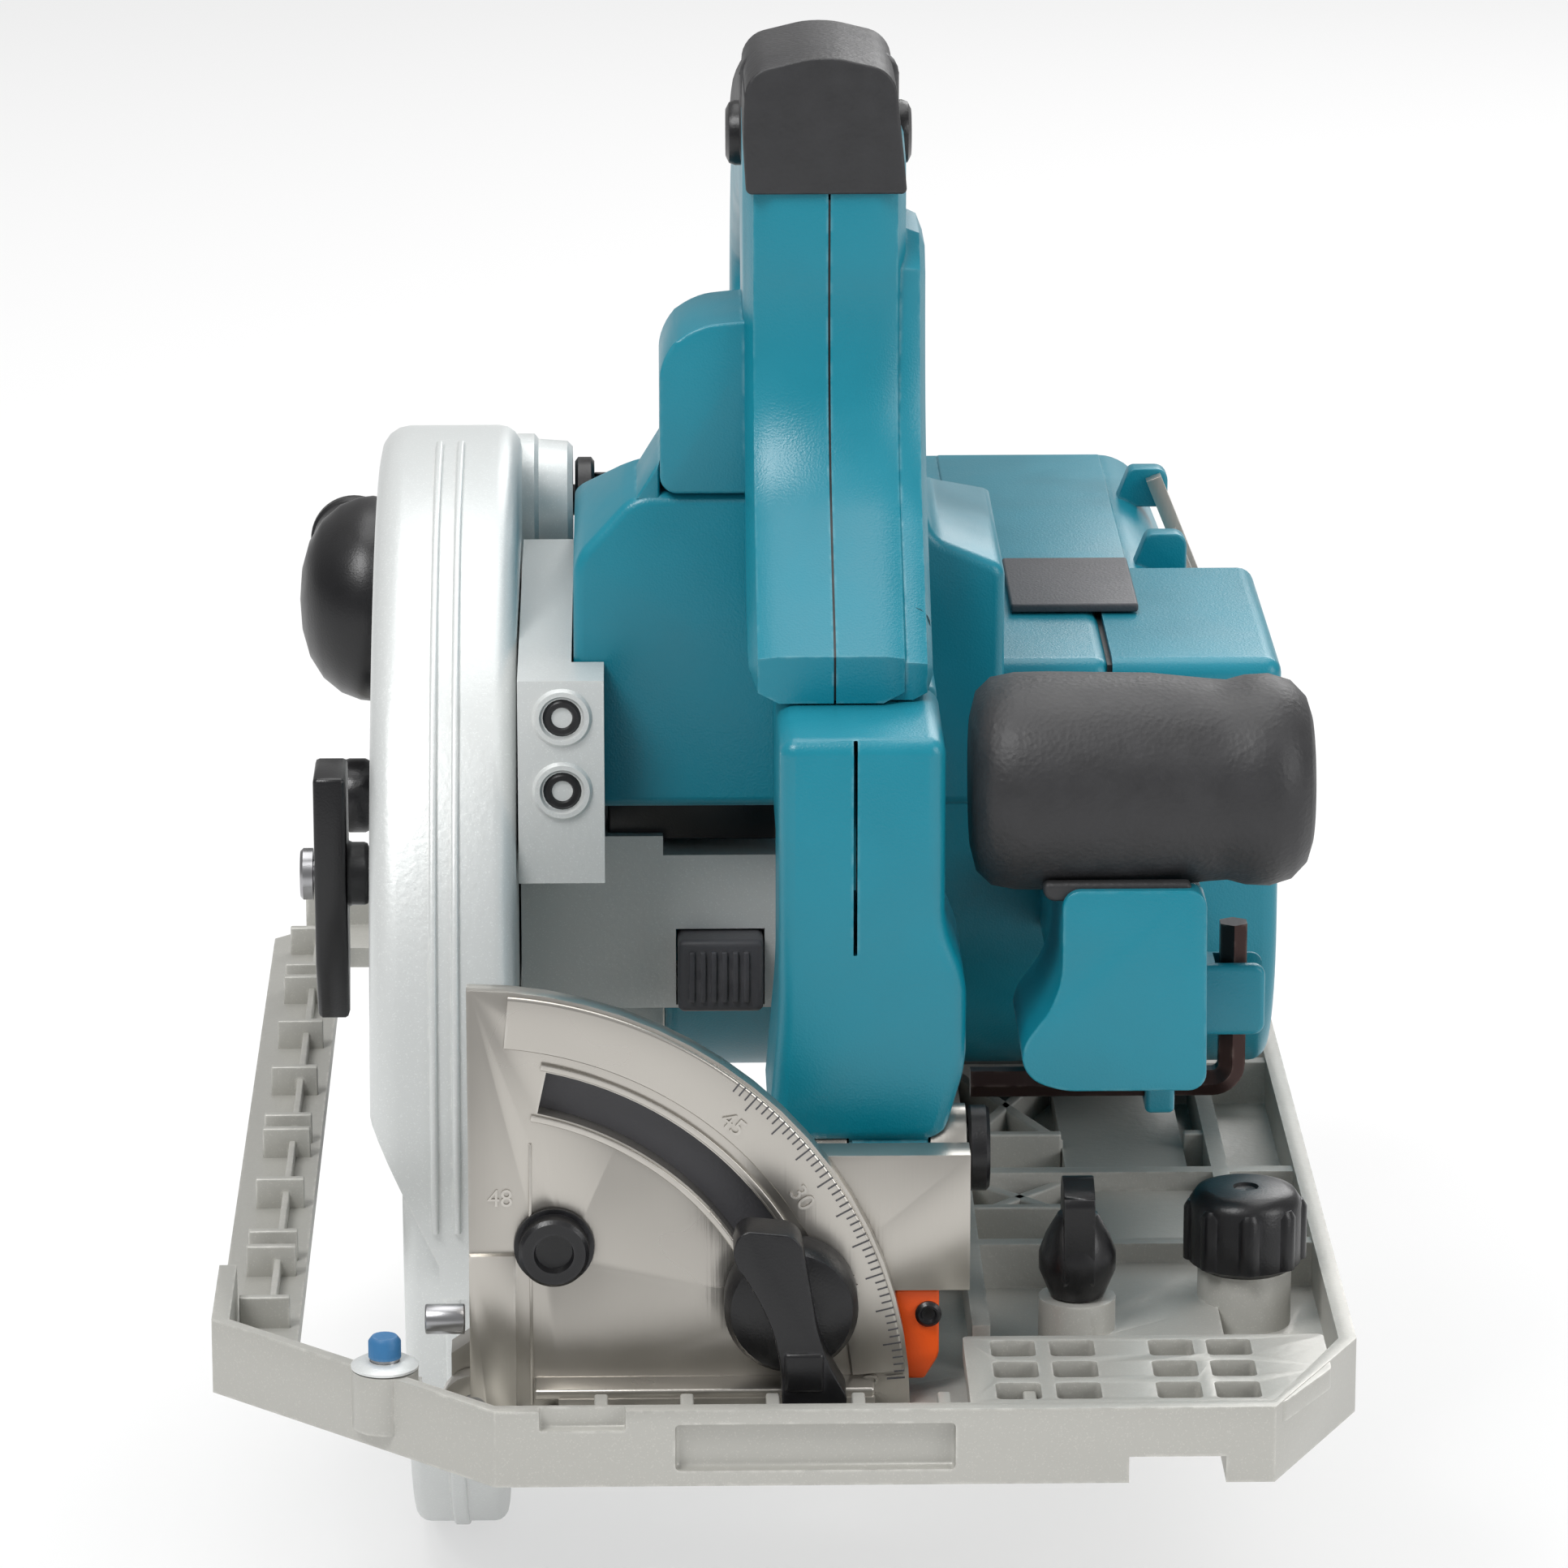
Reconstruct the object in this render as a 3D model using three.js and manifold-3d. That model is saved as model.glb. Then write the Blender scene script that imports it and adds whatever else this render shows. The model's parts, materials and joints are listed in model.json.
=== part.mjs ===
// Cordless circular saw with a tilting rail sole: one solid for each piece, in millimetres.
// +Z is up, +X runs from the blade to the motor, and the saw cuts towards -Y.
// The origin lies on the sole's flat underside, right of the blade opening, level with the arbor.
import * as THREE from "three";
import { mergeVertices } from "three/addons/utils/BufferGeometryUtils.js";
import Module from "manifold-3d";

const wasm = await Module();
wasm.setup();

// ---- Driving dimensions ----
const BLADE_DIAMETER = 190;
const BLADE_PLATE = 1.5;
const BLADE_TEETH = 24;
const CUT_DEPTH = 68.5; // at full depth, square cut
const BLADE_X = -65;
const RAIL = { left: 45.7, width: 15.8, height: 4.5 };
const GEAR = { module: 1.1, big: 40, small: 11, pressure: (25 * Math.PI) / 180, backlash: 0.16 };
const MOTOR_RADIUS = 34;
const CASE_WALL = 2.8;
const GUARD_WALL = 1.5;
const SOLE_BEHIND = 20; // of the sole behind the guard
const SPINDLE_RADIUS = 5.5;
const GRIP_WIDTH = 26.7;
const GAP = 0.35; // between pieces that rest on each other
const RUN = 0.08; // radial clearance of a turning fit

// ---- Places worked out from them ----
const ARBOR_Z = BLADE_DIAMETER / 2 - CUT_DEPTH;
const GUARD_RADIUS = BLADE_DIAMETER / 2 + 3;
const SOLE = { left: -105.2, right: 85.4, front: -184, rear: GUARD_RADIUS + SOLE_BEHIND, floor: 4, rim: 13 };
const CASE_RADIUS = GUARD_RADIUS + 2 + CASE_WALL + 1.2;
const CENTRES = (GEAR.module * (GEAR.big + GEAR.small)) / 2;
const MOTOR_Y = -12;
const MOTOR_DZ = Math.sqrt(CENTRES ** 2 - MOTOR_Y ** 2);
const CASE_LEFT = BLADE_X - 14.6;
const CASE_RIGHT = BLADE_X + 10.7;
const GUARD_LEFT = CASE_LEFT + CASE_WALL + 2.4;
const GUARD_RIGHT = CASE_RIGHT - CASE_WALL - 0.5;
const DEPTH_AXIS = { y: -132, z: ARBOR_Z + 13.5 };
const BEVEL_AXIS = { x: BLADE_X + 4, z: SOLE.floor + 0.2 };
const PIN_RADIUS = 2.2;
const QUADRANT = { y: -158, thick: 4, radius: 72, slot: 55.7 };
const STUD_ANGLE = (20.3 * Math.PI) / 180;
const DEGREE = Math.PI / 180;

// ---- Shape helpers ----
function solid(geometry) {
  const plain = geometry.index ? geometry : mergeVertices(geometry);
  plain.deleteAttribute("normal");
  plain.deleteAttribute("uv");
  const merged = mergeVertices(plain, 1e-4);
  const mesh = new wasm.Mesh({
    numProp: 3,
    vertProperties: merged.attributes.position.array,
    triVerts: new Uint32Array(merged.index.array),
  });
  return new wasm.Manifold(mesh);
}

function box([x0, x1], [y0, y1], [z0, z1]) {
  const shape = new THREE.BoxGeometry(x1 - x0, y1 - y0, z1 - z0);
  return solid(shape.translate((x0 + x1) / 2, (y0 + y1) / 2, (z0 + z1) / 2));
}

function rodX(radius, [x0, x1], y, z, sides = 24) {
  const rod = new THREE.CylinderGeometry(radius, radius, x1 - x0, sides).rotateZ(Math.PI / 2);
  return solid(rod.translate((x0 + x1) / 2, y, z));
}

function rodY(radius, [y0, y1], x, z, sides = 24) {
  const rod = new THREE.CylinderGeometry(radius, radius, y1 - y0, sides);
  return solid(rod.translate(x, (y0 + y1) / 2, z));
}

function rodZ(radius, [z0, z1], x, y, sides = 24) {
  const rod = new THREE.CylinderGeometry(radius, radius, z1 - z0, sides).rotateX(Math.PI / 2);
  return solid(rod.translate(x, y, (z0 + z1) / 2));
}

const outline = (points) => new THREE.Shape(points.map(([a, b]) => new THREE.Vector2(a, b)));

function sector(inner, outer, from, to) {
  const shape = new THREE.Shape();
  shape.absarc(0, 0, outer, from * DEGREE, to * DEGREE, false);
  if (inner > 0) shape.absarc(0, 0, inner, to * DEGREE, from * DEGREE, true);
  else shape.lineTo(0, 0);
  return shape;
}

// Plates cut from an outline: across X from (y, z) points, across Y from (x, z), across Z from (x, y).
function plateX(shape, [x0, x1], y = 0, z = 0, curveSegments = 12) {
  const plate = new THREE.ExtrudeGeometry(shape, { depth: x1 - x0, bevelEnabled: false, curveSegments });
  const turn = new THREE.Matrix4().makeBasis(
    new THREE.Vector3(0, 1, 0), new THREE.Vector3(0, 0, 1), new THREE.Vector3(1, 0, 0));
  return solid(plate.applyMatrix4(turn).translate(x0, y, z));
}

function plateY(shape, [y0, y1], x = 0, z = 0, curveSegments = 12) {
  const plate = new THREE.ExtrudeGeometry(shape, { depth: y1 - y0, bevelEnabled: false, curveSegments });
  return solid(plate.rotateX(Math.PI / 2).translate(x, y1, z));
}

function plateZ(shape, [z0, z1], curveSegments = 12) {
  const plate = new THREE.ExtrudeGeometry(shape, { depth: z1 - z0, bevelEnabled: false, curveSegments });
  return solid(plate.translate(0, 0, z0));
}

const join = (...solids) => solids.reduce((a, b) => a.add(b));
const cut = (body, ...tools) => tools.reduce((a, b) => a.subtract(b), body);

// ---- Finishes ----
const finish = (color, roughness, metalness = 0) => ({ color, roughness, metalness });
const TEAL = finish(0x1a8aa5, 0.5);
const RUBBER = finish(0x3a3a3d, 0.85);
const SILVER = finish(0xc9cfce, 0.45, 0.4);
const MAGNESIUM = finish(0xc9c8c2, 0.5, 0.3);
const NICKEL = finish(0xbebab3, 0.35, 0.8);
const BLACK = finish(0x0d0d10, 0.3);
const ORANGE = finish(0xff6a22, 0.5);
const STEEL = finish(0x9a9a9c, 0.3, 1);
const DARK_STEEL = finish(0x3a2b29, 0.4, 0.8);
const COPPER = finish(0x8f5a36, 0.4, 0.8);
const GREY = finish(0x4a4a4e, 0.6);

const saw = new THREE.Group(); // the saw body; its own zero is the arbor's height
saw.position.z = ARBOR_Z;
const base = new THREE.Group(); // the sole and what is fixed to it
const tilt = new THREE.Group(); // the brackets between the saw and the sole
const root = new THREE.Group();
root.add(saw, base, tilt);

function piece(group, name, shape, look) {
  const data = shape.getMesh();
  const geometry = new THREE.BufferGeometry();
  geometry.setAttribute("position", new THREE.BufferAttribute(data.vertProperties, 3));
  geometry.setIndex(new THREE.BufferAttribute(data.triVerts, 1));
  const mesh = new THREE.Mesh(geometry, new THREE.MeshStandardMaterial(look));
  mesh.name = name;
  group.add(mesh);
}

// ---- Blade, spindle and its gear (about the arbor) ----
function bladeOutline() {
  const tip = BLADE_DIAMETER / 2;
  const points = [];
  for (let i = 0; i < BLADE_TEETH; i++) {
    const at = (part, radius) => {
      const angle = ((i + part) * 2 * Math.PI) / BLADE_TEETH;
      points.push([radius * Math.cos(angle), radius * Math.sin(angle)]);
    };
    at(0, tip);
    at(0.02, tip - 9);
    at(0.2, tip - 10.5);
    at(0.42, tip - 5);
    at(0.75, tip - 2.2);
  }
  return outline(points);
}

function gearOutline(teeth, phase) {
  const pitch = (GEAR.module * teeth) / 2;
  const base = pitch * Math.cos(GEAR.pressure);
  const tip = pitch + GEAR.module * 0.95;
  const root = pitch - GEAR.module * 1.25;
  const involute = (angle) => Math.tan(angle) - angle;
  const half = (Math.PI * GEAR.module) / 2 - GEAR.backlash;
  const points = [];
  for (let tooth = 0; tooth < teeth; tooth++) {
    const middle = phase + (tooth * 2 * Math.PI) / teeth;
    const flank = [];
    for (let step = 0; step < 3; step++) {
      const radius = Math.max(base, root) + ((tip - Math.max(base, root)) * step) / 2;
      const lean = half / 2 / pitch + involute(GEAR.pressure) - involute(Math.acos(base / radius));
      flank.push([radius, lean]);
    }
    const rootLean = flank[0][1];
    const side = (sign, list) => list.forEach(([radius, lean]) => {
      const angle = middle + sign * lean;
      points.push([radius * Math.cos(angle), radius * Math.sin(angle)]);
    });
    side(-1, base > root ? [[root, rootLean], ...flank] : flank);
    side(1, base > root ? [...flank.reverse(), [root, rootLean]] : flank.reverse());
  }
  return outline(points);
}

const SPINDLE_END = BLADE_X - 4.8;
const GEAR_X = [BLADE_X + 17, BLADE_X + 26];
const MESH_ANGLE = Math.atan2(MOTOR_DZ, MOTOR_Y);
const FLANGE_RADIUS = 17;
const BOLT_SHANK = 3.9;

function bladeSet() {
  const bore = rodX(SPINDLE_RADIUS + RUN, [-200, 200], 0, 0);
  const shank = [SPINDLE_END - 1, BLADE_X + 9];
  const half = BLADE_PLATE / 2;
  piece(saw, "blade", cut(plateX(bladeOutline(), [BLADE_X - half, BLADE_X + half]), bore), STEEL);
  const clamp = half + 0.3;
  piece(saw, "outer_flange", cut(rodX(FLANGE_RADIUS, [BLADE_X - 4.9, BLADE_X - clamp], 0, 0), bore), STEEL);
  piece(saw, "inner_flange", cut(rodX(FLANGE_RADIUS, [BLADE_X + clamp, BLADE_X + 4.9], 0, 0), bore), STEEL);
  const spindle = rodX(SPINDLE_RADIUS, [SPINDLE_END, BLADE_X + 33], 0, 0);
  piece(saw, "spindle", cut(spindle, rodX(BOLT_SHANK + RUN, shank, 0, 0)), STEEL);
  const head = rodX(8.5, [BLADE_X - 11, SPINDLE_END - GAP], 0, 0, 6);
  piece(saw, "arbor_bolt", join(head, rodX(BOLT_SHANK, [SPINDLE_END - 1, BLADE_X + 8], 0, 0)), STEEL);
  const gear = plateX(gearOutline(GEAR.big, MESH_ANGLE + Math.PI / GEAR.big), GEAR_X);
  piece(saw, "drive_gear", cut(gear, bore), STEEL);
}

// ---- Upper blade case and the swinging lower guard ----
const CASE_BOTTOM = SOLE.rim + 4 - ARBOR_Z;
const FRONT_LIP = 2.5; // how low the case reaches ahead of the blade, above the sole's underside
const NECK_RADIUS = 13;
const LEVER = { radius: 50, from: 30, sweep: 120, stem: 4 };
const NOZZLE = { y: 60, dz: 59, radius: 19.5, pipe: 8.6 };
const PORT = { y: 40, dz: 83 };
const LATCH = { y: -75, dz: 45 };

function bladeCase() {
  const across = [CASE_LEFT, CASE_RIGHT];
  const inside = [CASE_LEFT + CASE_WALL, CASE_RIGHT - CASE_WALL];
  const left = [CASE_LEFT - 1, CASE_LEFT + CASE_WALL + 0.1];
  const slot = sector(LEVER.radius - LEVER.stem - 1, LEVER.radius + LEVER.stem + 1,
    LEVER.from - 7, LEVER.from + LEVER.sweep + 7);
  const under = join(
    box([-200, 200], [-66, 200], [-300, CASE_BOTTOM]),
    box([-200, 200], [-200, -65], [-300, FRONT_LIP - ARBOR_Z]),
  );
  // the lower left corner is bevelled off, so the sole's arm passes it when the saw tilts
  const corner = outline([[CASE_LEFT - 1, -60], [CASE_LEFT + 11.6, -60],
    [CASE_LEFT + 11.6, 9 - ARBOR_Z], [CASE_LEFT, 35 - ARBOR_Z], [CASE_LEFT - 1, 35 - ARBOR_Z]]);
  const shell = cut(
    join(
      rodX(CASE_RADIUS, across, 0, 0, 56),
      rodX(11, [CASE_RIGHT - 1, CASE_RIGHT + 9.3], PORT.y, PORT.dz),
    ),
    rodX(CASE_RADIUS - CASE_WALL, inside, 0, 0, 56),
    under,
    plateY(corner, [-200, 200]),
    rodX(NECK_RADIUS + GAP, [CASE_RIGHT - 5, CASE_RIGHT + 1], 0, 0),
    rodX(26, left, 0, 0),
    plateX(slot, left),
    rodX(11, [CASE_LEFT - 5, CASE_LEFT + CASE_WALL + 0.1], NOZZLE.y, NOZZLE.dz),
    rodX(2.6, [CASE_LEFT - 1, CASE_LEFT + CASE_WALL + 0.1], LATCH.y, LATCH.dz),
    rodX(3.1, [CASE_RIGHT - 5, CASE_RIGHT + 10], PORT.y, PORT.dz),
  );
  piece(saw, "blade_case", shell, SILVER);
}

const GUARD_ARC = [178, 362]; // degrees about the arbor, from +Y

function lowerGuard() {
  const across = [GUARD_LEFT, GUARD_RIGHT];
  const [from, to] = GUARD_ARC;
  const rim = plateX(sector(GUARD_RADIUS - GUARD_WALL, GUARD_RADIUS, from, to), across, 0, 0, 20);
  const left = plateX(sector(LEVER.radius - 6, GUARD_RADIUS - 0.5, from, to),
    [GUARD_LEFT, GUARD_LEFT + GUARD_WALL], 0, 0, 20);
  const right = plateX(sector(12, GUARD_RADIUS - 0.5, from, to),
    [GUARD_RIGHT - GUARD_WALL, GUARD_RIGHT], 0, 0, 20);
  const hub = rodX(20, [GUARD_RIGHT - GUARD_WALL, GUARD_RIGHT], 0, 0, 32);
  const ear = plateX(sector(LEVER.radius - 6, LEVER.radius + 8, LEVER.from - 8, LEVER.from + 8),
    [GUARD_LEFT, GUARD_LEFT + GUARD_WALL], 0, 0, 6);
  const arm = plateX(sector(LEVER.radius - 6, LEVER.radius + 8, -2, LEVER.from + 8),
    [GUARD_LEFT, GUARD_LEFT + GUARD_WALL], 0, 0, 8);
  const guard = cut(join(rim, left, right, hub, ear, arm),
    rodX(NECK_RADIUS + 0.1, [GUARD_RIGHT - 5, GUARD_RIGHT + 1], 0, 0, 32));
  piece(saw, "lower_guard", guard, SILVER);
  const y = LEVER.radius * Math.cos(LEVER.from * DEGREE);
  const z = LEVER.radius * Math.sin(LEVER.from * DEGREE);
  const stem = rodX(LEVER.stem, [CASE_LEFT - 4, GUARD_LEFT - GAP], y, z);
  piece(saw, "guard_lever", join(stem, rodX(7, [CASE_LEFT - 10, CASE_LEFT - 3], y, z)), BLACK);
}

// ---- Gear housing, its bearings and the shaft lock ----
const HOUSING_LEFT = CASE_RIGHT + 0.4;
const MOTOR_LEFT = BLADE_X + 36.4;
const BEARING = { outer: 9.2, wide: 6 };

function gearHousing() {
  const depth = [HOUSING_LEFT, MOTOR_LEFT - 0.4];
  const chamber = [HOUSING_LEFT - 1, GEAR_X[1] + 1];
  const around = GEAR.module * (GEAR.big / 2 + 1) + 1;
  const body = join(
    rodX(around + 2.1, depth, 0, 0, 32),
    rodX(17, depth, MOTOR_Y, MOTOR_DZ, 32),
    box(depth, [-60, 14], [15.5, 47]),
    box([MOTOR_LEFT - 1, -8.3], [-60, MOTOR_Y - MOTOR_RADIUS - 0.4], [15.5, 43.5]),
    box([HOUSING_LEFT, -44.7], [-85, 14], [46, 82]),
    box([-45, -39.1], [-85, -72.4], [46, 82]),
  );
  const housing = cut(
    body,
    rodX(around, chamber, 0, 0, 32),
    rodX(7.6, [HOUSING_LEFT + 3, MOTOR_LEFT + 1], MOTOR_Y, MOTOR_DZ),
    rodX(BEARING.outer + RUN, [GEAR_X[1] + 0.5, MOTOR_LEFT - 2.5], 0, 0),
    box([-51, -11], [-56, -48], [19, 40]),
    box([-40, -20], [-49, -25], [20, 36]),
    box([-26.8, -11.2], [-61, -52.4], [16, 30]),
    rodY(2.8, [-56, -46], -19, 23),
  );
  piece(saw, "gear_housing", housing, SILVER);
  const neck = join(
    rodX(around - GAP, [HOUSING_LEFT, HOUSING_LEFT + 2.8], 0, 0, 32),
    rodX(NECK_RADIUS, [BLADE_X + 5.6, HOUSING_LEFT + 1], 0, 0, 32),
  );
  const seat = rodX(BEARING.outer + RUN, [BLADE_X + 5, HOUSING_LEFT + 4], 0, 0);
  piece(saw, "bearing_box", cut(neck, seat), SILVER);
  const bore = rodX(SPINDLE_RADIUS + RUN, [-200, 200], 0, 0);
  const ring = (x0) => cut(rodX(BEARING.outer, [x0, x0 + BEARING.wide], 0, 0), bore);
  piece(saw, "spindle_bearing_left", ring(BLADE_X + 6.5), STEEL);
  piece(saw, "spindle_bearing_right", ring(GEAR_X[1] + 0.8), STEEL);
  const tab = join(box([-26.5, -11.5], [-66, -56], [16.4, 29.6]), rodY(2.4, [-66, -50], -19, 23));
  piece(saw, "shaft_lock", tab, BLACK);
}

// ---- Motor ----
const MOTOR_WALL = 2.6;
const MOTOR_TOP = 74.6;
const COVER_X = 50.4;
const MOTOR_RIGHT = 80.4;
const MOTOR_REAR = MOTOR_Y + MOTOR_RADIUS;
const CROWN = { front: -72, rear: MOTOR_REAR, from: -46, to: MOTOR_REAR, low: 82, flat: [-15.5, 12] };

function motorOutline(radius, top) {
  const shape = new THREE.Shape();
  shape.moveTo(MOTOR_Y - radius, top);
  shape.lineTo(MOTOR_Y - radius, MOTOR_DZ);
  shape.absarc(MOTOR_Y, MOTOR_DZ, radius, Math.PI, 2 * Math.PI, false);
  shape.lineTo(MOTOR_Y + radius, top);
  return shape;
}

function roof(inset) {
  return outline([
    [-44.3 + inset, 55.5 + inset], [30 - inset, 55.5 + inset], [30 - inset, 98.5 - inset * 0.6],
    [18 - inset * 0.4, 103.4 - inset], [15 - inset, 111.4 - inset], [-34 + inset * 0.6, 111.4 - inset],
    [-44.3 + inset, 100 - inset * 0.6],
  ]);
}

// What is taken off the crown beside the handle's foot, where it falls away to the rear.
function crownSlopes(inset) {
  const [left, right] = CROWN.flat;
  const fall = outline([[CROWN.from - inset, 130], [CROWN.from - inset, 111.4 - inset],
    [CROWN.to, CROWN.low - inset], [CROWN.to + 20, CROWN.low - inset], [CROWN.to + 20, 130]]);
  return join(plateX(fall, [-60, left + inset]), plateX(fall, [right - inset, 60]));
}

function motorHousing() {
  const wall = MOTOR_WALL;
  const tube = [MOTOR_LEFT, COVER_X - 0.4];
  const crown = (inset) => cut(
    plateY(roof(inset), [CROWN.front + inset, CROWN.rear - inset]), crownSlopes(inset));
  const shell = cut(
    join(plateX(motorOutline(MOTOR_RADIUS, MOTOR_TOP), tube), crown(0)),
    plateX(motorOutline(MOTOR_RADIUS - wall, MOTOR_TOP - wall), [MOTOR_LEFT + 3, COVER_X + 1]),
    crown(wall),
    rodX(15, [MOTOR_LEFT - 1, MOTOR_LEFT + 4], MOTOR_Y, MOTOR_DZ),
    box([-8, 6], [-66, -30], [105, 115]),
  );
  piece(saw, "motor_housing", shell, TEAL);
  const seat = rodX(12, [66, MOTOR_RIGHT - 1], MOTOR_Y, MOTOR_DZ);
  const drum = cut(
    plateX(motorOutline(MOTOR_RADIUS, MOTOR_TOP), [COVER_X, MOTOR_RIGHT]),
    plateX(motorOutline(MOTOR_RADIUS - wall, MOTOR_TOP - wall), [COVER_X - 1, MOTOR_RIGHT - wall]),
  );
  const cover = cut(
    join(drum, seat),
    rodX(9 + RUN, [60, MOTOR_RIGHT - wall], MOTOR_Y, MOTOR_DZ),
    ...[-3, -2, -1, 0, 1, 2, 3].map((i) =>
      box([MOTOR_RIGHT - 5, MOTOR_RIGHT + 1], [MOTOR_Y - 18, MOTOR_Y + 18], [32 + i * 7, 35 + i * 7])),
  );
  piece(saw, "motor_end_cover", cover, TEAL);
}

const FAN = { x: 39.5, end: 47, radius: MOTOR_RADIUS - 6, vanes: 9 };

function motorInside() {
  const shaft = 4;
  const at = [MOTOR_Y, MOTOR_DZ];
  const bore = rodX(shaft + RUN, [-200, 200], ...at);
  const inner = 21.6;
  const stator = cut(rodX(MOTOR_RADIUS - 3, [2, 36], ...at, 32), rodX(inner, [1, 37], ...at, 32));
  piece(saw, "stator", stator, COPPER);
  piece(saw, "rotor_core", cut(rodX(inner - 0.7, [3, 35], ...at, 32), bore), STEEL);
  piece(saw, "motor_shaft", rodX(shaft, [GEAR_X[1] + 0.4, 74.5], ...at), STEEL);
  const phase = MESH_ANGLE + Math.PI;
  piece(saw, "pinion", plateX(gearOutline(GEAR.small, phase), GEAR_X, ...at), STEEL);
  const vanes = Array.from({ length: FAN.vanes }, (_, i) =>
    box([FAN.x + 1.5, FAN.end], [7, FAN.radius], [-0.8, 0.8])
      .rotate([(i * 360) / FAN.vanes, 0, 0]).translate([0, ...at]));
  const disc = rodX(FAN.radius, [FAN.x, FAN.x + 2], ...at, 32);
  piece(saw, "cooling_fan", cut(join(disc, rodX(8, [FAN.x, FAN.end], ...at), ...vanes), bore), GREY);
  const ring = (x0, outer) => cut(rodX(outer, [x0, x0 + 6], ...at), bore);
  piece(saw, "motor_bearing_left", ring(MOTOR_LEFT + 0.6, 14.6), STEEL);
  piece(saw, "motor_bearing_right", ring(67.4, 9), STEEL);
}

// ---- Handle, trigger, switch and electronics ----
const HANDLE_FOOT = 111.4 + GAP;
const FOOT_Z = 86.5 + GAP; // the pillar's foot reaches down to the front column
const GRIP_LEFT = -15.1;
const GRIP_RIGHT = GRIP_LEFT + GRIP_WIDTH;
const SEAM = -0.5;
const DECK_TOP = 71.5;
const LOCK_OFF = { y: -52, dz: 170.5, radius: 5.6 };
const TRIGGER_PIVOT = { y: -36, dz: 158 };

const handleOuter = [
  [-74, HANDLE_FOOT], [-76, 160], [-71, 178], [-62, 184], [-20, 181], [50, 160], [86, 137],
  [100, 110], [100, DECK_TOP + GAP], [76, DECK_TOP + GAP], [66, HANDLE_FOOT - 12], [58, HANDLE_FOOT],
];
const handleHole = [
  [-44, HANDLE_FOOT + 5], [-44, 138], [-36, 152], [-18, 154], [52, 133], [70, 121], [72, HANDLE_FOOT + 5],
];
const gripCap = [
  [-80, 166], [-76, 183], [-62, 189.3], [-20, 186.3], [50, 165.3], [72, 152],
  [69, 148.3], [50, 160.35], [-20, 181.35], [-62, 184.35], [-71.3, 178.3], [-76.2, 165],
];

function handle() {
  const ring = (across) => cut(plateX(outline(handleOuter), across),
    plateX(outline(handleHole), [-60, 60]));
  const inside = join(
    box([-10.5, 7.2], [-68, -47], [HANDLE_FOOT - 1, 160]),
    box([-10.5, 7.2], [-66, -4], [158, 171.5]),
  );
  const opening = box([-10.5, 7.2], [-45, -14], [140, 160]);
  const lockOff = rodX(LOCK_OFF.radius + 0.4, [-40, 40], LOCK_OFF.y, LOCK_OFF.dz);
  const shoulder = plateY(
    outline([[-29.3, HANDLE_FOOT], [SEAM - 0.2, HANDLE_FOOT], [SEAM - 0.2, 142], [-15, 142],
      [-24, 141], [-29.3, 135.7]]), [-73, -46.6]);
  const foot = outline([[-72.4, FOOT_Z], [-118, FOOT_Z], [-118, FOOT_Z + 4], [-84, 119.5], [-76.4, 138],
    [-70, 138], [-70, HANDLE_FOOT + 2], [-72.4, HANDLE_FOOT + 2]]);
  const left = join(ring([GRIP_LEFT, SEAM - 0.2]), shoulder, plateX(foot, [GRIP_LEFT, SEAM - 0.2]));
  piece(saw, "handle_left", cut(left, inside, opening, lockOff), TEAL);
  const boss = join(box([SEAM + 0.2, 16], [-73, -46.6], [HANDLE_FOOT, 140]), plateX(foot, [SEAM + 0.2, 16]));
  piece(saw, "handle_right", cut(join(ring([SEAM + 0.2, GRIP_RIGHT]), boss), inside, opening, lockOff), TEAL);
  piece(saw, "handle_grip", plateX(outline(gripCap), [GRIP_LEFT, GRIP_RIGHT]), RUBBER);
  piece(saw, "lock_off_button", rodX(LOCK_OFF.radius, [GRIP_LEFT - 2.6, GRIP_RIGHT + 2.6],
    LOCK_OFF.y, LOCK_OFF.dz), BLACK);
  const pull = outline([[-41, 160], [-41, 155], [-37, 146], [-33, 141.5],
    [-29, 143], [-25, 152], [-20, 160]]);
  piece(saw, "trigger", plateX(pull, [-10.1, 6.8]), BLACK);
  piece(saw, "switch_unit", box([-9.8, 6.5], [-40, -6], [163.5, 171]), GREY);
  piece(saw, "controller", box([-12.5, 9], [-60, -8], [95, 108.4]), GREY);
  piece(saw, "name_plate", box([34, 57], [-14, 20], [MOTOR_TOP + GAP, MOTOR_TOP + 2]), GREY);
}

// ---- Front column, front grip and the hex key's holder ----
const GRIP = { y: -122, dz: 74.5, radius: 18.2, x: [21.9, 78.7] };
const KEY = { y: -115, dz: 19.5, radius: 2.6, bend: 66.8 };

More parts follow.
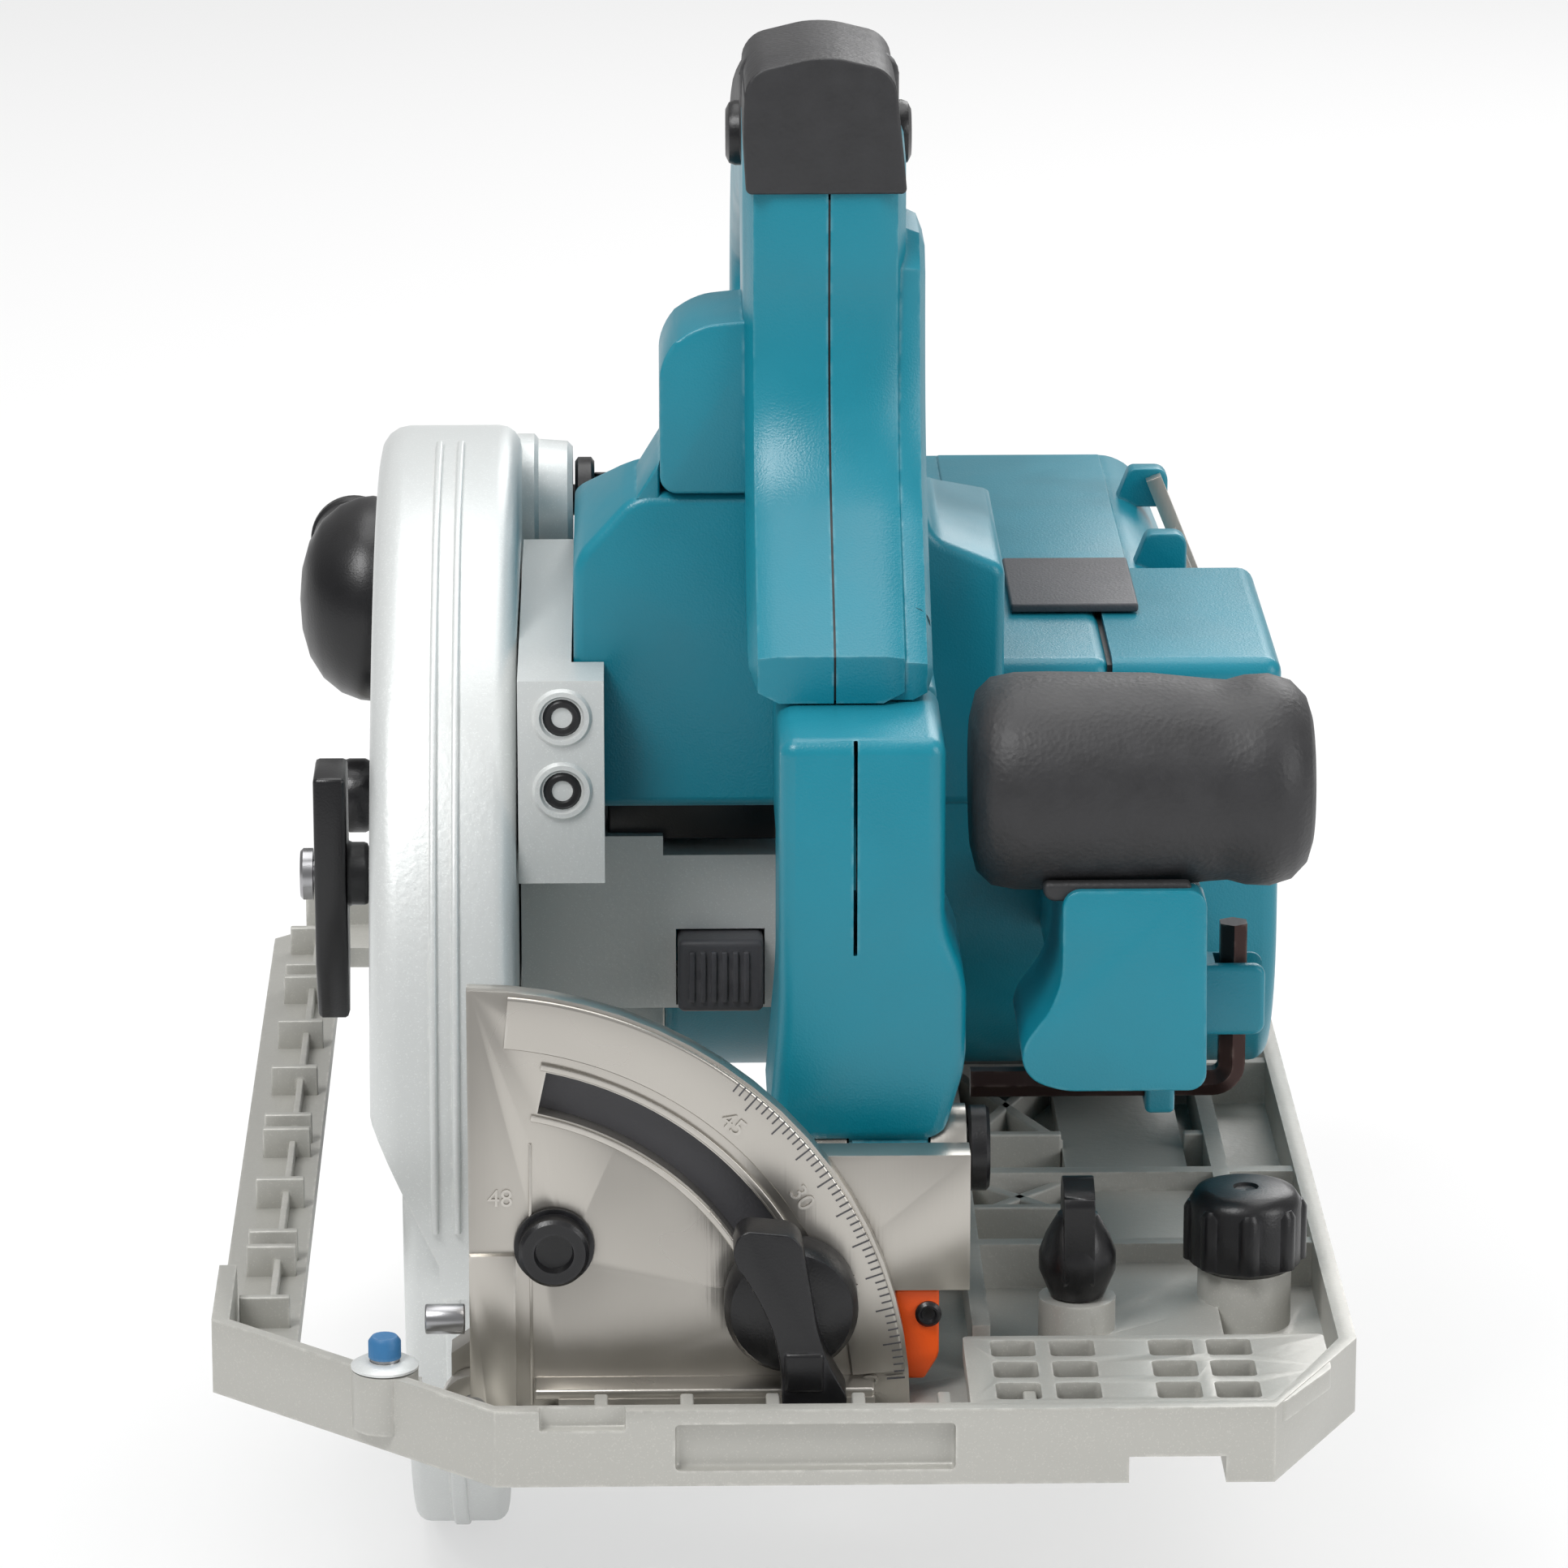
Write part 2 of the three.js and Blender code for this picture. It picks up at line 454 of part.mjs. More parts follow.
function frontPieces() {
  const hinge = DEPTH_AXIS.z - ARBOR_Z;
  const column = join(
    plateY(outline([[-12.2, 16.4], [16.9, 16.4], [20.8, 30], [20.8, 45], [17.2, 54], [17.2, 86.5],
      [-10.2, 86.5], [-10.2, 39.8]]), [-136, -105]),
    box([-10, 17], [-106, -72.4], [57, 86.5]),
    rodX(7.5, [1.4, 14.6], DEPTH_AXIS.y, hinge),
  );
  const ears = [[-5.4, 1.4], [14.6, 22]].map((x) => rodX(8.2, x, DEPTH_AXIS.y, hinge));
  const bolt = rodX(4 + RUN, [-30, 30], DEPTH_AXIS.y, hinge);
  const hollow = box([-6, 13], [-130, -104], [50, 80]);
  piece(saw, "front_column", cut(column, ...ears, bolt, hollow, box([-6, 13], [-105, -90], [61, 80])), TEAL);
  const post = cut(
    join(
      plateY(outline([[30.2, 33.1], [30.2, 28], [36, 25.2], [60.9, 25.2], [60.5, 60], [36.7, 60], [36.7, 42]]),
        [-138, -106]),
      box([38, 60], [-107, MOTOR_Y - 20], [25.2, 44]),
      box([40, 72], [-119.5, -110.5], [28.8, 41.2]),
      box([52, 57], [-119.5, -110.5], [15, 26]),
    ),
    rodX(GRIP.radius + GAP, [0, 100], GRIP.y, GRIP.dz, 32),
    plateX(motorOutline(MOTOR_RADIUS + 0.4, 90), [0, 100]),
    rodX(KEY.radius + 0.3, [0, 100], KEY.y, KEY.dz, 6),
    box([KEY.bend - 3.2, 80], [KEY.y - 2.9, KEY.y + 2.9], [10, 60]),
  );
  piece(saw, "grip_post", post, TEAL);
  const [g0, g1] = GRIP.x;
  const profile = [[0, g0], [12, g0], [16.5, g0 + 3], [GRIP.radius, g0 + 9], [GRIP.radius, g1 - 9],
    [16.5, g1 - 3], [12, g1], [0, g1]];
  const barrel = new THREE.LatheGeometry(profile.map(([r, x]) => new THREE.Vector2(r, x)), 28);
  piece(saw, "front_grip", solid(barrel.rotateZ(-Math.PI / 2)).translate([0, GRIP.y, GRIP.dz]), RUBBER);
  const key = join(rodX(KEY.radius, [22.6, KEY.bend + 2.2], KEY.y, KEY.dz, 6),
    rodZ(KEY.radius, [KEY.dz - 2.2, 47.6], KEY.bend, KEY.y, 6));
  piece(saw, "hex_key", key, DARK_STEEL);
}

// ---- Battery, its holder and the hanging hook ----
const BATTERY = { x: [-2, 70], y: [24, 124], bottom: -4, top: 49.5 };
const HOOK = { x: 66.8, dz: 74.5, y: [40, 86], reach: 27, slope: 68 };
const STUD = { y: DEPTH_AXIS.y + 227.7, dz: 1.5, radius: 3 };

function batteryPieces() {
  const { top } = BATTERY;
  const slide = [[2, top + 0.4], [13.6, top + 0.4], [13.6, top + 4.6], [7.7, top + 4.6], [7.7, 63.3],
    [60.3, 63.3], [60.3, top + 4.6], [54.4, top + 4.6], [54.4, top + 0.4], [68, top + 0.4], [71, 54],
    [64, DECK_TOP], [-20, DECK_TOP], [-20, 63.3], [2, 63.3]];
  const hookEars = [HOOK.y[0] - 5, HOOK.y[1] + GAP].map((y) =>
    box([HOOK.x - 8, HOOK.x + 2.4], [y, y + 5 - GAP], [HOOK.dz - 5, HOOK.dz + 2.6]));
  const holder = cut(
    join(plateY(outline(slide), [MOTOR_REAR + 0.4, 122]), box([-20, -15.5], [84, 110], [-8, 66]),
      ...hookEars),
    rodX(STUD.radius + RUN, [-30, -10], STUD.y, STUD.dz),
    rodY(1.5 + RUN, [20, 120], HOOK.x, HOOK.dz),
  );
  piece(saw, "battery_holder", holder, TEAL);
  const rail = [[8, top + 5], [14, top + 5], [14, top - 1], [54, top - 1], [54, top + 5], [60, top + 5],
    [60, 63], [8, 63]];
  const pack = join(box(BATTERY.x, BATTERY.y, [BATTERY.bottom, top]), plateY(outline(rail), [36, 122]));
  const key = box([24, 44], [110, 130], [top - 12, 70]);
  piece(saw, "battery", cut(pack, key), BLACK);
  piece(saw, "battery_button", box([24.4, 43.6], [112, 126], [top - 8, top + 6]), GREY);
  piece(saw, "terminal_block", box([16, 52], [23, 35], [top + 5, 63]), GREY);
  const bar = (x, y) => box(x, y, [-1.5, 1.5]);
  const [h0, h1] = HOOK.y;
  const loop = join(bar([-1.5, HOOK.reach], [h0, h0 + 3]), bar([-1.5, HOOK.reach], [h1 - 3, h1]),
    bar([HOOK.reach - 3, HOOK.reach], [h0, h1]),
    rodY(1.5, [h0 - 4, h0 + 1], 0, 0), rodY(1.5, [h1 - 1, h1 + 4], 0, 0));
  const hook = loop.rotate([0, HOOK.slope, 0]).translate([HOOK.x, 0, HOOK.dz]);
  piece(saw, "hanging_hook", hook, STEEL);
}

// ---- Small pieces on the blade case ----
function casePieces() {
  const swing = [CASE_LEFT - 17.4, CASE_LEFT - GAP];
  const elbow = join(
    rodX(NOZZLE.radius, swing, NOZZLE.y, NOZZLE.dz),
    rodX(10.6, [CASE_LEFT - 5, CASE_LEFT + 1.5], NOZZLE.y, NOZZLE.dz),
    rodY(8, [NOZZLE.y, NOZZLE.y + 48], CASE_LEFT - NOZZLE.pipe, NOZZLE.dz),
  );
  const bore = join(rodX(8, [CASE_LEFT - 14, CASE_LEFT + 2], NOZZLE.y, NOZZLE.dz),
    rodY(5.8, [NOZZLE.y, NOZZLE.y + 50], CASE_LEFT - NOZZLE.pipe, NOZZLE.dz));
  piece(saw, "dust_nozzle", cut(elbow, bore), BLACK);
  const knobX = [CASE_RIGHT + 9.7, CASE_RIGHT + 17.3];
  const knob = join(rodX(8, knobX, PORT.y, PORT.dz, 12),
    rodX(2.9, [CASE_RIGHT - 2, knobX[0] + 1], PORT.y, PORT.dz));
  piece(saw, "port_knob", knob, BLACK);
  const latchX = [CASE_LEFT - 9.6, CASE_LEFT - 4];
  const latch = outline([[LATCH.y - 7, 64], [LATCH.y + 7, 64], [LATCH.y + 6, 30],
    [LATCH.y, 18.5], [LATCH.y - 6, 30]]);
  const blade = cut(plateX(latch, latchX), rodX(2.6, [-120, 0], LATCH.y, LATCH.dz));
  const spacer = cut(rodX(5.5, [latchX[1] - 0.5, CASE_LEFT - GAP], LATCH.y, LATCH.dz),
    rodX(2.6, [-120, 0], LATCH.y, LATCH.dz));
  piece(saw, "case_latch", join(blade, spacer), BLACK);
  piece(saw, "latch_screw", join(rodX(2.5, [latchX[0] - 0.5, CASE_LEFT + CASE_WALL], LATCH.y, LATCH.dz),
    rodX(4.5, [latchX[0] - 2.6, latchX[0] - GAP], LATCH.y, LATCH.dz)), STEEL);
  const lever = join(rodX(9, [-36, -27.6], STUD.y, STUD.dz), rodX(STUD.radius, [-31, -14], STUD.y, STUD.dz),
    box([-36, -30], [STUD.y - 4, STUD.y + 4], [STUD.dz, STUD.dz + 44]));
  piece(saw, "depth_lever", lever, BLACK);
}

// ---- Tilting brackets: front bracket, rear depth guide ----
const PLATE_Y = [QUADRANT.y + QUADRANT.thick + 0.4, -147];
const CLAMP = {
  x: BEVEL_AXIS.x + QUADRANT.slot * Math.cos(STUD_ANGLE),
  z: BEVEL_AXIS.z + QUADRANT.slot * Math.sin(STUD_ANGLE),
};
const FOOT_Y = [GUARD_RADIUS + 2, GUARD_RADIUS + 8];
const GUIDE = { x: [-27, -23], half: 9, slot: 4.6, from: -7.6, to: 21.4, root: 26 };

function tiltPieces() {
  const low = SOLE.floor + 0.4;
  const { y: hy, z: hz } = DEPTH_AXIS;
  const pinHole = (span) => rodY(PIN_RADIUS + RUN, span, BEVEL_AXIS.x, BEVEL_AXIS.z);
  const boss = (span) => rodY(3.8, span, BEVEL_AXIS.x, BEVEL_AXIS.z);
  const web = outline([[BEVEL_AXIS.x - 3.8, low], [BEVEL_AXIS.x + 4, low], [-15, 14], [-2, 14], [-2, 22.5],
    [21, 22.5], [21, hz + 6], [-5, hz + 6], [-30, 36], [BEVEL_AXIS.x - 3.8, 12]]);
  const ears = [[-5, 1], [15, 21]].flatMap((x) => [
    rodX(7.5, x, hy, hz),
    box(x, [PLATE_Y[1] - 1, hy], [hz - 7.5, hz]),
  ]);
  const bracket = cut(
    join(plateY(web, PLATE_Y), boss(PLATE_Y), ...ears,
      plateY(sector(30, QUADRANT.radius - 8, 10, 84), PLATE_Y, BEVEL_AXIS.x, BEVEL_AXIS.z)),
    pinHole([-170, -130]),
    rodY(3.1, [-170, -130], CLAMP.x, CLAMP.z),
    rodX(4 + RUN, [-30, 30], hy, hz),
  );
  piece(tilt, "front_bracket", bracket, NICKEL);
  piece(tilt, "depth_pivot_bolt", join(rodX(4, [-5, 22], hy, hz), rodX(7.2, [21.4, 25], hy, hz, 12)), BLACK);
  piece(tilt, "bevel_pointer", box([8.6, 16], [-152.4, -148.4], [6.5, 22.5 - GAP]), ORANGE);
  const stud = join(rodY(3, [-167, -145], CLAMP.x, CLAMP.z), rodY(5.5, [-146.6, -143.4], CLAMP.x, CLAMP.z));
  piece(tilt, "clamp_stud", stud, STEEL);
  const arm = outline([[-10, 12], [-8, 16.4], [1, 15], [4, 4], [5, -4],
    [10, -14], [5, -17], [-2, -15], [-2, -3], [-6, 6]]);
  const lever = cut(
    join(rodY(11, [-167.6, QUADRANT.y - 0.5], CLAMP.x, CLAMP.z, 20),
      plateY(arm, [-173.4, -165.4], CLAMP.x, CLAMP.z)),
    rodY(3 + RUN, [-167.4, -150], CLAMP.x, CLAMP.z));
  piece(tilt, "bevel_clamp_lever", lever, BLACK);

  const reach = STUD.y - hy;
  const guide = join(
    plateX(sector(reach - GUIDE.half, reach + GUIDE.half, GUIDE.from, GUIDE.to), GUIDE.x, hy, hz, 8),
    box(GUIDE.x, [86, FOOT_Y[1]], [low + 0.2, hz - GUIDE.root]),
    plateY(outline([[BEVEL_AXIS.x - 3.8, low], [-23, low], [-23, 14], [-50, 14],
      [BEVEL_AXIS.x - 3.8, 10]]), FOOT_Y),
    boss(FOOT_Y),
  );
  const slot = plateX(sector(reach - GUIDE.slot, reach + GUIDE.slot, GUIDE.from + 3, GUIDE.to - 3),
    [GUIDE.x[0] - 3, GUIDE.x[1] + 3], hy, hz, 8);
  piece(tilt, "depth_guide", cut(guide, slot, pinHole([FOOT_Y[0] - 10, FOOT_Y[1] + 4])), NICKEL);
}

// ---- Sole plate and what is fixed to it ----
const WING = { x: 40, y: -133, radius: 6.5 };
const FLUTED = { x: 69.4, y: -118, radius: 10.5, flutes: 8 };
const ADJUSTER = { x: -75.5, y: -163 };
const KNOB_SHANK = 2.5;
const WINDOW = { left: -91.5, right: -50, front: -143, rear: GUARD_RADIUS + 1.4 };

function solePlate() {
  const { left, right, front, rear, floor, rim } = SOLE;
  const corner = (d) => outline([
    [left + d, front + 45], [left + 48, front + d], [right - 16, front + d], [right - d, front + 32],
    [right - d, rear - 6], [right - 6, rear - d], [left + 12, rear - d], [left + d, rear - 12],
  ]);
  const wall = 3;
  const rail = [RAIL.left - 3, RAIL.left + RAIL.width + 3];
  const frame = cut(plateZ(corner(0), [0, rim]), plateZ(corner(wall), [floor, rim + 1]));
  // low along the left arm where the blade case passes it in a tilted cut
  const lowArm = box([left - 1, WINDOW.left + 8], [-112, FOOT_Y[1] + 6], [floor - 1, rim + 1]);
  const plate = join(plateZ(corner(0), [0, floor]), cut(frame, lowArm),
    box(rail, [front + 1, rear - 1], [0, floor + RAIL.height]));
  const ribs = [[-5, 83, -62], [-5, 83, 62], [-5, 83, 0], [-5, 83, -100]].map(([x0, x1, y]) =>
    box([x0, x1], [y - 1.5, y + 1.5], [floor - 1, rim - 1]));
  const long = [[-6, 3, -142], [68, 3, -96], [22, 3, -142]].map(([x, w, y0]) =>
    box([x, x + w], [y0, rear - 8], [floor - 1, rim - 1]));
  const bosses = [
    rodZ(8, [floor - 1, rim + 1], FLUTED.x, FLUTED.y),
    rodZ(WING.radius, [floor - 1, rim + 1], WING.x, WING.y),
    rodZ(5.5, [floor - 1, rim], ADJUSTER.x, ADJUSTER.y),
  ];
  const notch = (y) => box([BEVEL_AXIS.x - 9, BEVEL_AXIS.x + 6], y, [-1, rim + 2]);
  const lug = box([BEVEL_AXIS.x - 6, BEVEL_AXIS.x + 6], [FOOT_Y[1] + 0.4, rear - 3.5], [0, BEVEL_AXIS.z + 6]);
  const solePiece = cut(
    join(plate, ...ribs, ...long, ...bosses, lug),
    box([RAIL.left, RAIL.left + RAIL.width], [front - 1, rear + 1], [-1, RAIL.height]),
    box([WINDOW.left, WINDOW.right], [WINDOW.front, WINDOW.rear], [-1, 30]),
    box([WINDOW.right - 1, -7], [-60, 60], [-1, 30]),
    notch([QUADRANT.y - 0.4, WINDOW.front + 1]),
    notch([WINDOW.rear - 1, FOOT_Y[1] + 0.4]),
    rodY(PIN_RADIUS + RUN, [FOOT_Y[0], rear + 80], BEVEL_AXIS.x, BEVEL_AXIS.z),
    rodZ(KNOB_SHANK + 0.1, [floor + 0.5, 30], FLUTED.x, FLUTED.y),
    rodZ(KNOB_SHANK + 0.1, [floor + 0.5, 30], WING.x, WING.y),
    rodZ(2.1, [floor - 2, 30], ADJUSTER.x, ADJUSTER.y),
  );
  piece(base, "sole_plate", solePiece, MAGNESIUM);
}

function solePieces() {
  const { x: bx, z: bz } = BEVEL_AXIS;
  const { y, thick, radius, slot } = QUADRANT;
  const top = SOLE.rim;
  const edge = outline([[bx - 0.6, -40], [bx + 100, -40], [bx + 100, 100], [bx - 0.6, 100]]);
  const disc = rodY(radius, [y, y + thick], bx, bz, 72).intersect(plateY(edge, [y - 1, y + thick + 1]));
  const lug = rodY(5.5, [y, y + thick], bx, bz);
  const block = box([bx - 0.6, bx + 7], [y - 1.5, y + 1], [SOLE.floor + GAP, 31]);
  const bar = box([bx + 14, bx + 66], [y - 7, y + 0.5], [SOLE.floor + GAP, SOLE.floor + 4]);
  const under = cut(box([-200, 200], [y - 20, y + 20], [-100, SOLE.floor + GAP]),
    box([bx - 6, bx + 5.6], [y - 1, y + 10], [0.3, 50]));
  const arc = plateY(sector(slot - 3.6, slot + 3.6, 16, 78), [y - 1, y + thick + 1], bx, bz);
  const bolt = { x: bx + 13.4, z: 32.3 };
  const plate = cut(join(disc, lug, block, bar), under, arc,
    rodY(PIN_RADIUS + RUN, [y - 5, y + 10], bx, bz), rodY(2.6, [y - 5, y + 10], bolt.x, bolt.z));
  piece(base, "quadrant", plate, NICKEL);
  piece(base, "quadrant_bolt", join(rodY(6, [y - 4.5, y - GAP], bolt.x, bolt.z, 6),
    rodY(2.5, [y - 1, y + thick], bolt.x, bolt.z)), STEEL);
  piece(base, "stop_peg", rodX(2.5, [bx - 8, bx - 1.4], y - 0.2 + thick / 2, 19), STEEL);
  piece(base, "pivot_pin_front", rodY(PIN_RADIUS, [y, -146], bx, bz), STEEL);
  piece(base, "pivot_pin_rear", rodY(PIN_RADIUS, [FOOT_Y[0] - 1, SOLE.rear - 3], bx, bz), STEEL);
  const wing = join(
    rodZ(WING.radius, [top + 1 + GAP, top + 9], WING.x, WING.y),
    box([WING.x - 8, WING.x + 8], [WING.y - 1.5, WING.y + 1.5], [top + 7, top + 22]),
    rodZ(KNOB_SHANK, [SOLE.floor + 1, top + 3], WING.x, WING.y));
  piece(base, "wing_knob", wing, BLACK);
  const flutes = Array.from({ length: FLUTED.flutes }, (_, i) => {
    const angle = (i * 2 * Math.PI) / FLUTED.flutes;
    const out = FLUTED.radius + 0.5;
    return rodZ(2, [0, 60], FLUTED.x + out * Math.cos(angle), FLUTED.y + out * Math.sin(angle), 10);
  });
  const knob = cut(rodZ(FLUTED.radius, [top + 1 + GAP, top + 15], FLUTED.x, FLUTED.y, 32), ...flutes);
  piece(base, "fluted_knob",
    join(knob, rodZ(KNOB_SHANK, [SOLE.floor + 1, top + 3], FLUTED.x, FLUTED.y)), BLACK);
  const screw = join(rodZ(4.2, [top + GAP, top + 3.6], ADJUSTER.x, ADJUSTER.y),
    rodZ(2, [SOLE.floor - 1.5, top + 1], ADJUSTER.x, ADJUSTER.y));
  piece(base, "adjust_screw", screw, STEEL);
}

bladeSet();
bladeCase();
lowerGuard();
gearHousing();
motorHousing();
motorInside();
handle();
frontPieces();
batteryPieces();
casePieces();
tiltPieces();
solePlate();
solePieces();

export default root;
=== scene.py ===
"""Cordless circular saw on a tilting rail sole: its detailed pieces, finishes and studio."""
import json
import math

import bmesh
import bpy
from mathutils import Matrix, Vector


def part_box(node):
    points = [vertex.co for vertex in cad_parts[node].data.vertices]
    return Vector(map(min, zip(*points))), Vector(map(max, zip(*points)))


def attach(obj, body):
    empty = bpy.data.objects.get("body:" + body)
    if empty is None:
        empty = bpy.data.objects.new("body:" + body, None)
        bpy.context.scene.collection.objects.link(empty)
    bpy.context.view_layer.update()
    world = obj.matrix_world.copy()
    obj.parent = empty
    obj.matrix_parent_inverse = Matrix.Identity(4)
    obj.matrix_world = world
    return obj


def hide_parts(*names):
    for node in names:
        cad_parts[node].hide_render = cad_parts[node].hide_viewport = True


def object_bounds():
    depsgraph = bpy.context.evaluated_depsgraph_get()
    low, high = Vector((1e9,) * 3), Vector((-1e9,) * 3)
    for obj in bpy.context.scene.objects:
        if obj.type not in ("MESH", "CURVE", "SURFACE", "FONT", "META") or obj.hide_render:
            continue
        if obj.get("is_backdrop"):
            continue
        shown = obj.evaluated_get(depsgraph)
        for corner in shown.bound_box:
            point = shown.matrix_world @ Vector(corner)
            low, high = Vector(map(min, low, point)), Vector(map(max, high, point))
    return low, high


bl_info = {
    "name": "Cordless circular saw",
    "version": (1, 0, 0),
    "blender": (4, 5, 0),
    "location": "3D View > Sidebar > Saw",
    "description": "Builds the saw's shells, grips, castings, sole and studio around its packed parts",
    "category": "Object",
}

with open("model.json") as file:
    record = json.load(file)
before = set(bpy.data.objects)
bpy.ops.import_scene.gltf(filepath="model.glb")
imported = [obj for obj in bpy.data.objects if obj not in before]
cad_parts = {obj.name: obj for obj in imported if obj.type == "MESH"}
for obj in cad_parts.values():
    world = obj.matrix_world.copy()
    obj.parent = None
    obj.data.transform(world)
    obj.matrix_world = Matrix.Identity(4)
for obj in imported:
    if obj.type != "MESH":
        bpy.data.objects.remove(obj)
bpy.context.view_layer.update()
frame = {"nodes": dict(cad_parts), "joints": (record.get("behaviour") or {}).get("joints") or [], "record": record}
MM = 0.001
FULL_TURN = 360
ZERO_MARK = 4  # degrees from the sole to the scale's zero
BODY_OF = {
    node: body
    for body, nodes in frame["record"]["behaviour"]["bodies"].items()
    for node in nodes
}
JOINTS = {joint["name"]: joint for joint in frame["joints"]}
finishes = {}


def span(node):
    """A node's extent in millimetres: low x, high x, low y, high y, low z, high z."""
    return [value / MM for pair in zip(*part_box(node)) for value in pair]


def pivot(joint):
    """A joint's place in millimetres."""
    return [value / MM for value in JOINTS[joint]["pos_m"]]


# ---- Shape helpers; outlines and places are in millimetres ----
def spot(axis, a, b, along):
    """A point from an outline's two coordinates and its place along the plate's axis."""
    return Vector({"X": (along, a, b), "Y": (a, along, b), "Z": (a, b, along)}[axis]) * MM


def outline_face(bm, axis, points, along, corner, steps):
    """A flat face of the outline. A point may carry its own corner radius as a third number."""
    verts = [bm.verts.new(spot(axis, p[0], p[1], along)) for p in points]
    radii = [p[2] if len(p) > 2 else corner for p in points]
    bm.faces.new(verts)
    for radius in sorted(set(radii)):
        if radius > 0:
            chosen = [v for v, r in zip(verts, radii) if v.is_valid and r == radius]
            bmesh.ops.bevel(
                bm, geom=chosen, offset=radius * MM, offset_type="OFFSET", segments=steps,
                profile=0.5, affect="VERTICES", material=-1, clamp_overlap=True)


def slab(points, axis, low, high, corner=0.0, rim=0.0, holes=(), steps=6, rim_steps=3,
         rims=(True, True)):
    """A plate of the outline with rounded corners, rounded rims and any holes."""
    bm = bmesh.new()
    outline_face(bm, axis, points, low, corner, steps)
    if holes:
        for hole in holes:
            outline_face(bm, axis, hole, low, corner, steps)
        bmesh.ops.delete(bm, geom=bm.faces[:], context="FACES_ONLY")
        bmesh.ops.triangle_fill(bm, use_beauty=True, use_dissolve=False, edges=bm.edges[:])
        bmesh.ops.dissolve_limit(
            bm, angle_limit=math.radians(1), verts=[], edges=[e for e in bm.edges if len(e.link_faces) == 2])
    pushed = bmesh.ops.extrude_face_region(bm, geom=bm.faces[:])
    moved = [item for item in pushed["geom"] if isinstance(item, bmesh.types.BMVert)]
    bmesh.ops.translate(bm, verts=moved, vec=spot(axis, 0, 0, high - low))
    bmesh.ops.recalc_face_normals(bm, faces=bm.faces[:])
    if rim:
        k = "XYZ".index(axis)
        ends = [end * MM for end, wanted in zip((low, high), rims) if wanted]
        rounded = [
            e for e in bm.edges
            if len(e.link_faces) == 2 and e.calc_face_angle(0) > math.radians(50)
            and any(all(abs(v.co[k] - end) < 1e-7 for v in e.verts) for end in ends)]
        bmesh.ops.bevel(
            bm, geom=rounded, offset=rim * MM, offset_type="OFFSET", segments=rim_steps,
            profile=0.5, affect="EDGES", material=-1, clamp_overlap=True)
    return bm


def rounded(points, steps):
    """An outline with its corners rounded, as (a, b) pairs in counter-clockwise order."""
    bm = bmesh.new()
    outline_face(bm, "Z", points, 0, 0, steps)
    bmesh.ops.remove_doubles(bm, verts=bm.verts[:], dist=0.1 * MM)
    ring = [(v.co.x / MM, v.co.y / MM) for v in bm.faces[:][0].verts]
    bm.free()
    area = sum(a[0] * b[1] - b[0] * a[1] for a, b in zip(ring, ring[1:] + ring[:1]))
    return ring if area > 0 else ring[::-1]


def inset(ring, depth):
    """The ring moved inwards by a depth, each corner along its mitre."""
    moved = []
    for before, point, after in zip(ring[-1:] + ring[:-1], ring, ring[1:] + ring[:1]):
        ahead = (Vector(after) - Vector(point)).normalized()
        middle = (ahead + (Vector(point) - Vector(before)).normalized()).normalized()
        reach = depth / middle.dot(ahead)
        moved.append((point[0] - middle.y * reach, point[1] + middle.x * reach))
    return moved


def moulding(points, axis, low, high, rim, hole=(), steps=6, rim_steps=5, rims=(True, True)):
    """A plate of the outline whose rims are rounded all the way round it and round its hole."""
    levels = []
    for end, into, wanted in ((low, 1, rims[0]), (high, -1, rims[1])):
        turns = [math.pi / 2 * i / rim_steps for i in range(rim_steps + 1)] if wanted else []
        side = [(rim * (1 - math.sin(t)), end + into * rim * (1 - math.cos(t))) for t in turns] or [(0, end)]
        levels += side[::into]
    bm = bmesh.new()
    caps = ([], [])
    for outline, inwards in ((points, 1), (hole, -1)):
        if not outline:
            continue
        ring = rounded(outline, steps)
        loops = [
            [bm.verts.new(spot(axis, a, b, along)) for a, b in inset(ring, inwards * depth)]
            for depth, along in levels]
        for one, two in zip(loops, loops[1:]):
            for i in range(len(ring)):
                bm.faces.new((one[i - 1], one[i], two[i], two[i - 1]))
        for cap, loop in zip(caps, (loops[0], loops[-1])):
            cap += [bm.edges.get((loop[i - 1], loop[i])) for i in range(len(loop))]
    for cap in caps:
        bmesh.ops.triangle_fill(bm, use_beauty=True, use_dissolve=False, edges=cap)
    bmesh.ops.recalc_face_normals(bm, faces=bm.faces[:])
    return bm


def block(x, y, z, rim=0.6, rim_steps=3):
    """A box with every edge rounded."""
    bm = bmesh.new()
    size = Vector((x[1] - x[0], y[1] - y[0], z[1] - z[0])) * MM
    middle = Vector((x[0] + x[1], y[0] + y[1], z[0] + z[1])) * MM / 2
    bmesh.ops.create_cube(bm, size=1, matrix=Matrix.Translation(middle) @ Matrix.Diagonal((*size, 1)))
    if rim:
        bmesh.ops.bevel(
            bm, geom=bm.edges[:], offset=rim * MM, offset_type="OFFSET", segments=rim_steps,
            profile=0.5, affect="EDGES", material=-1, clamp_overlap=True)
    return bm


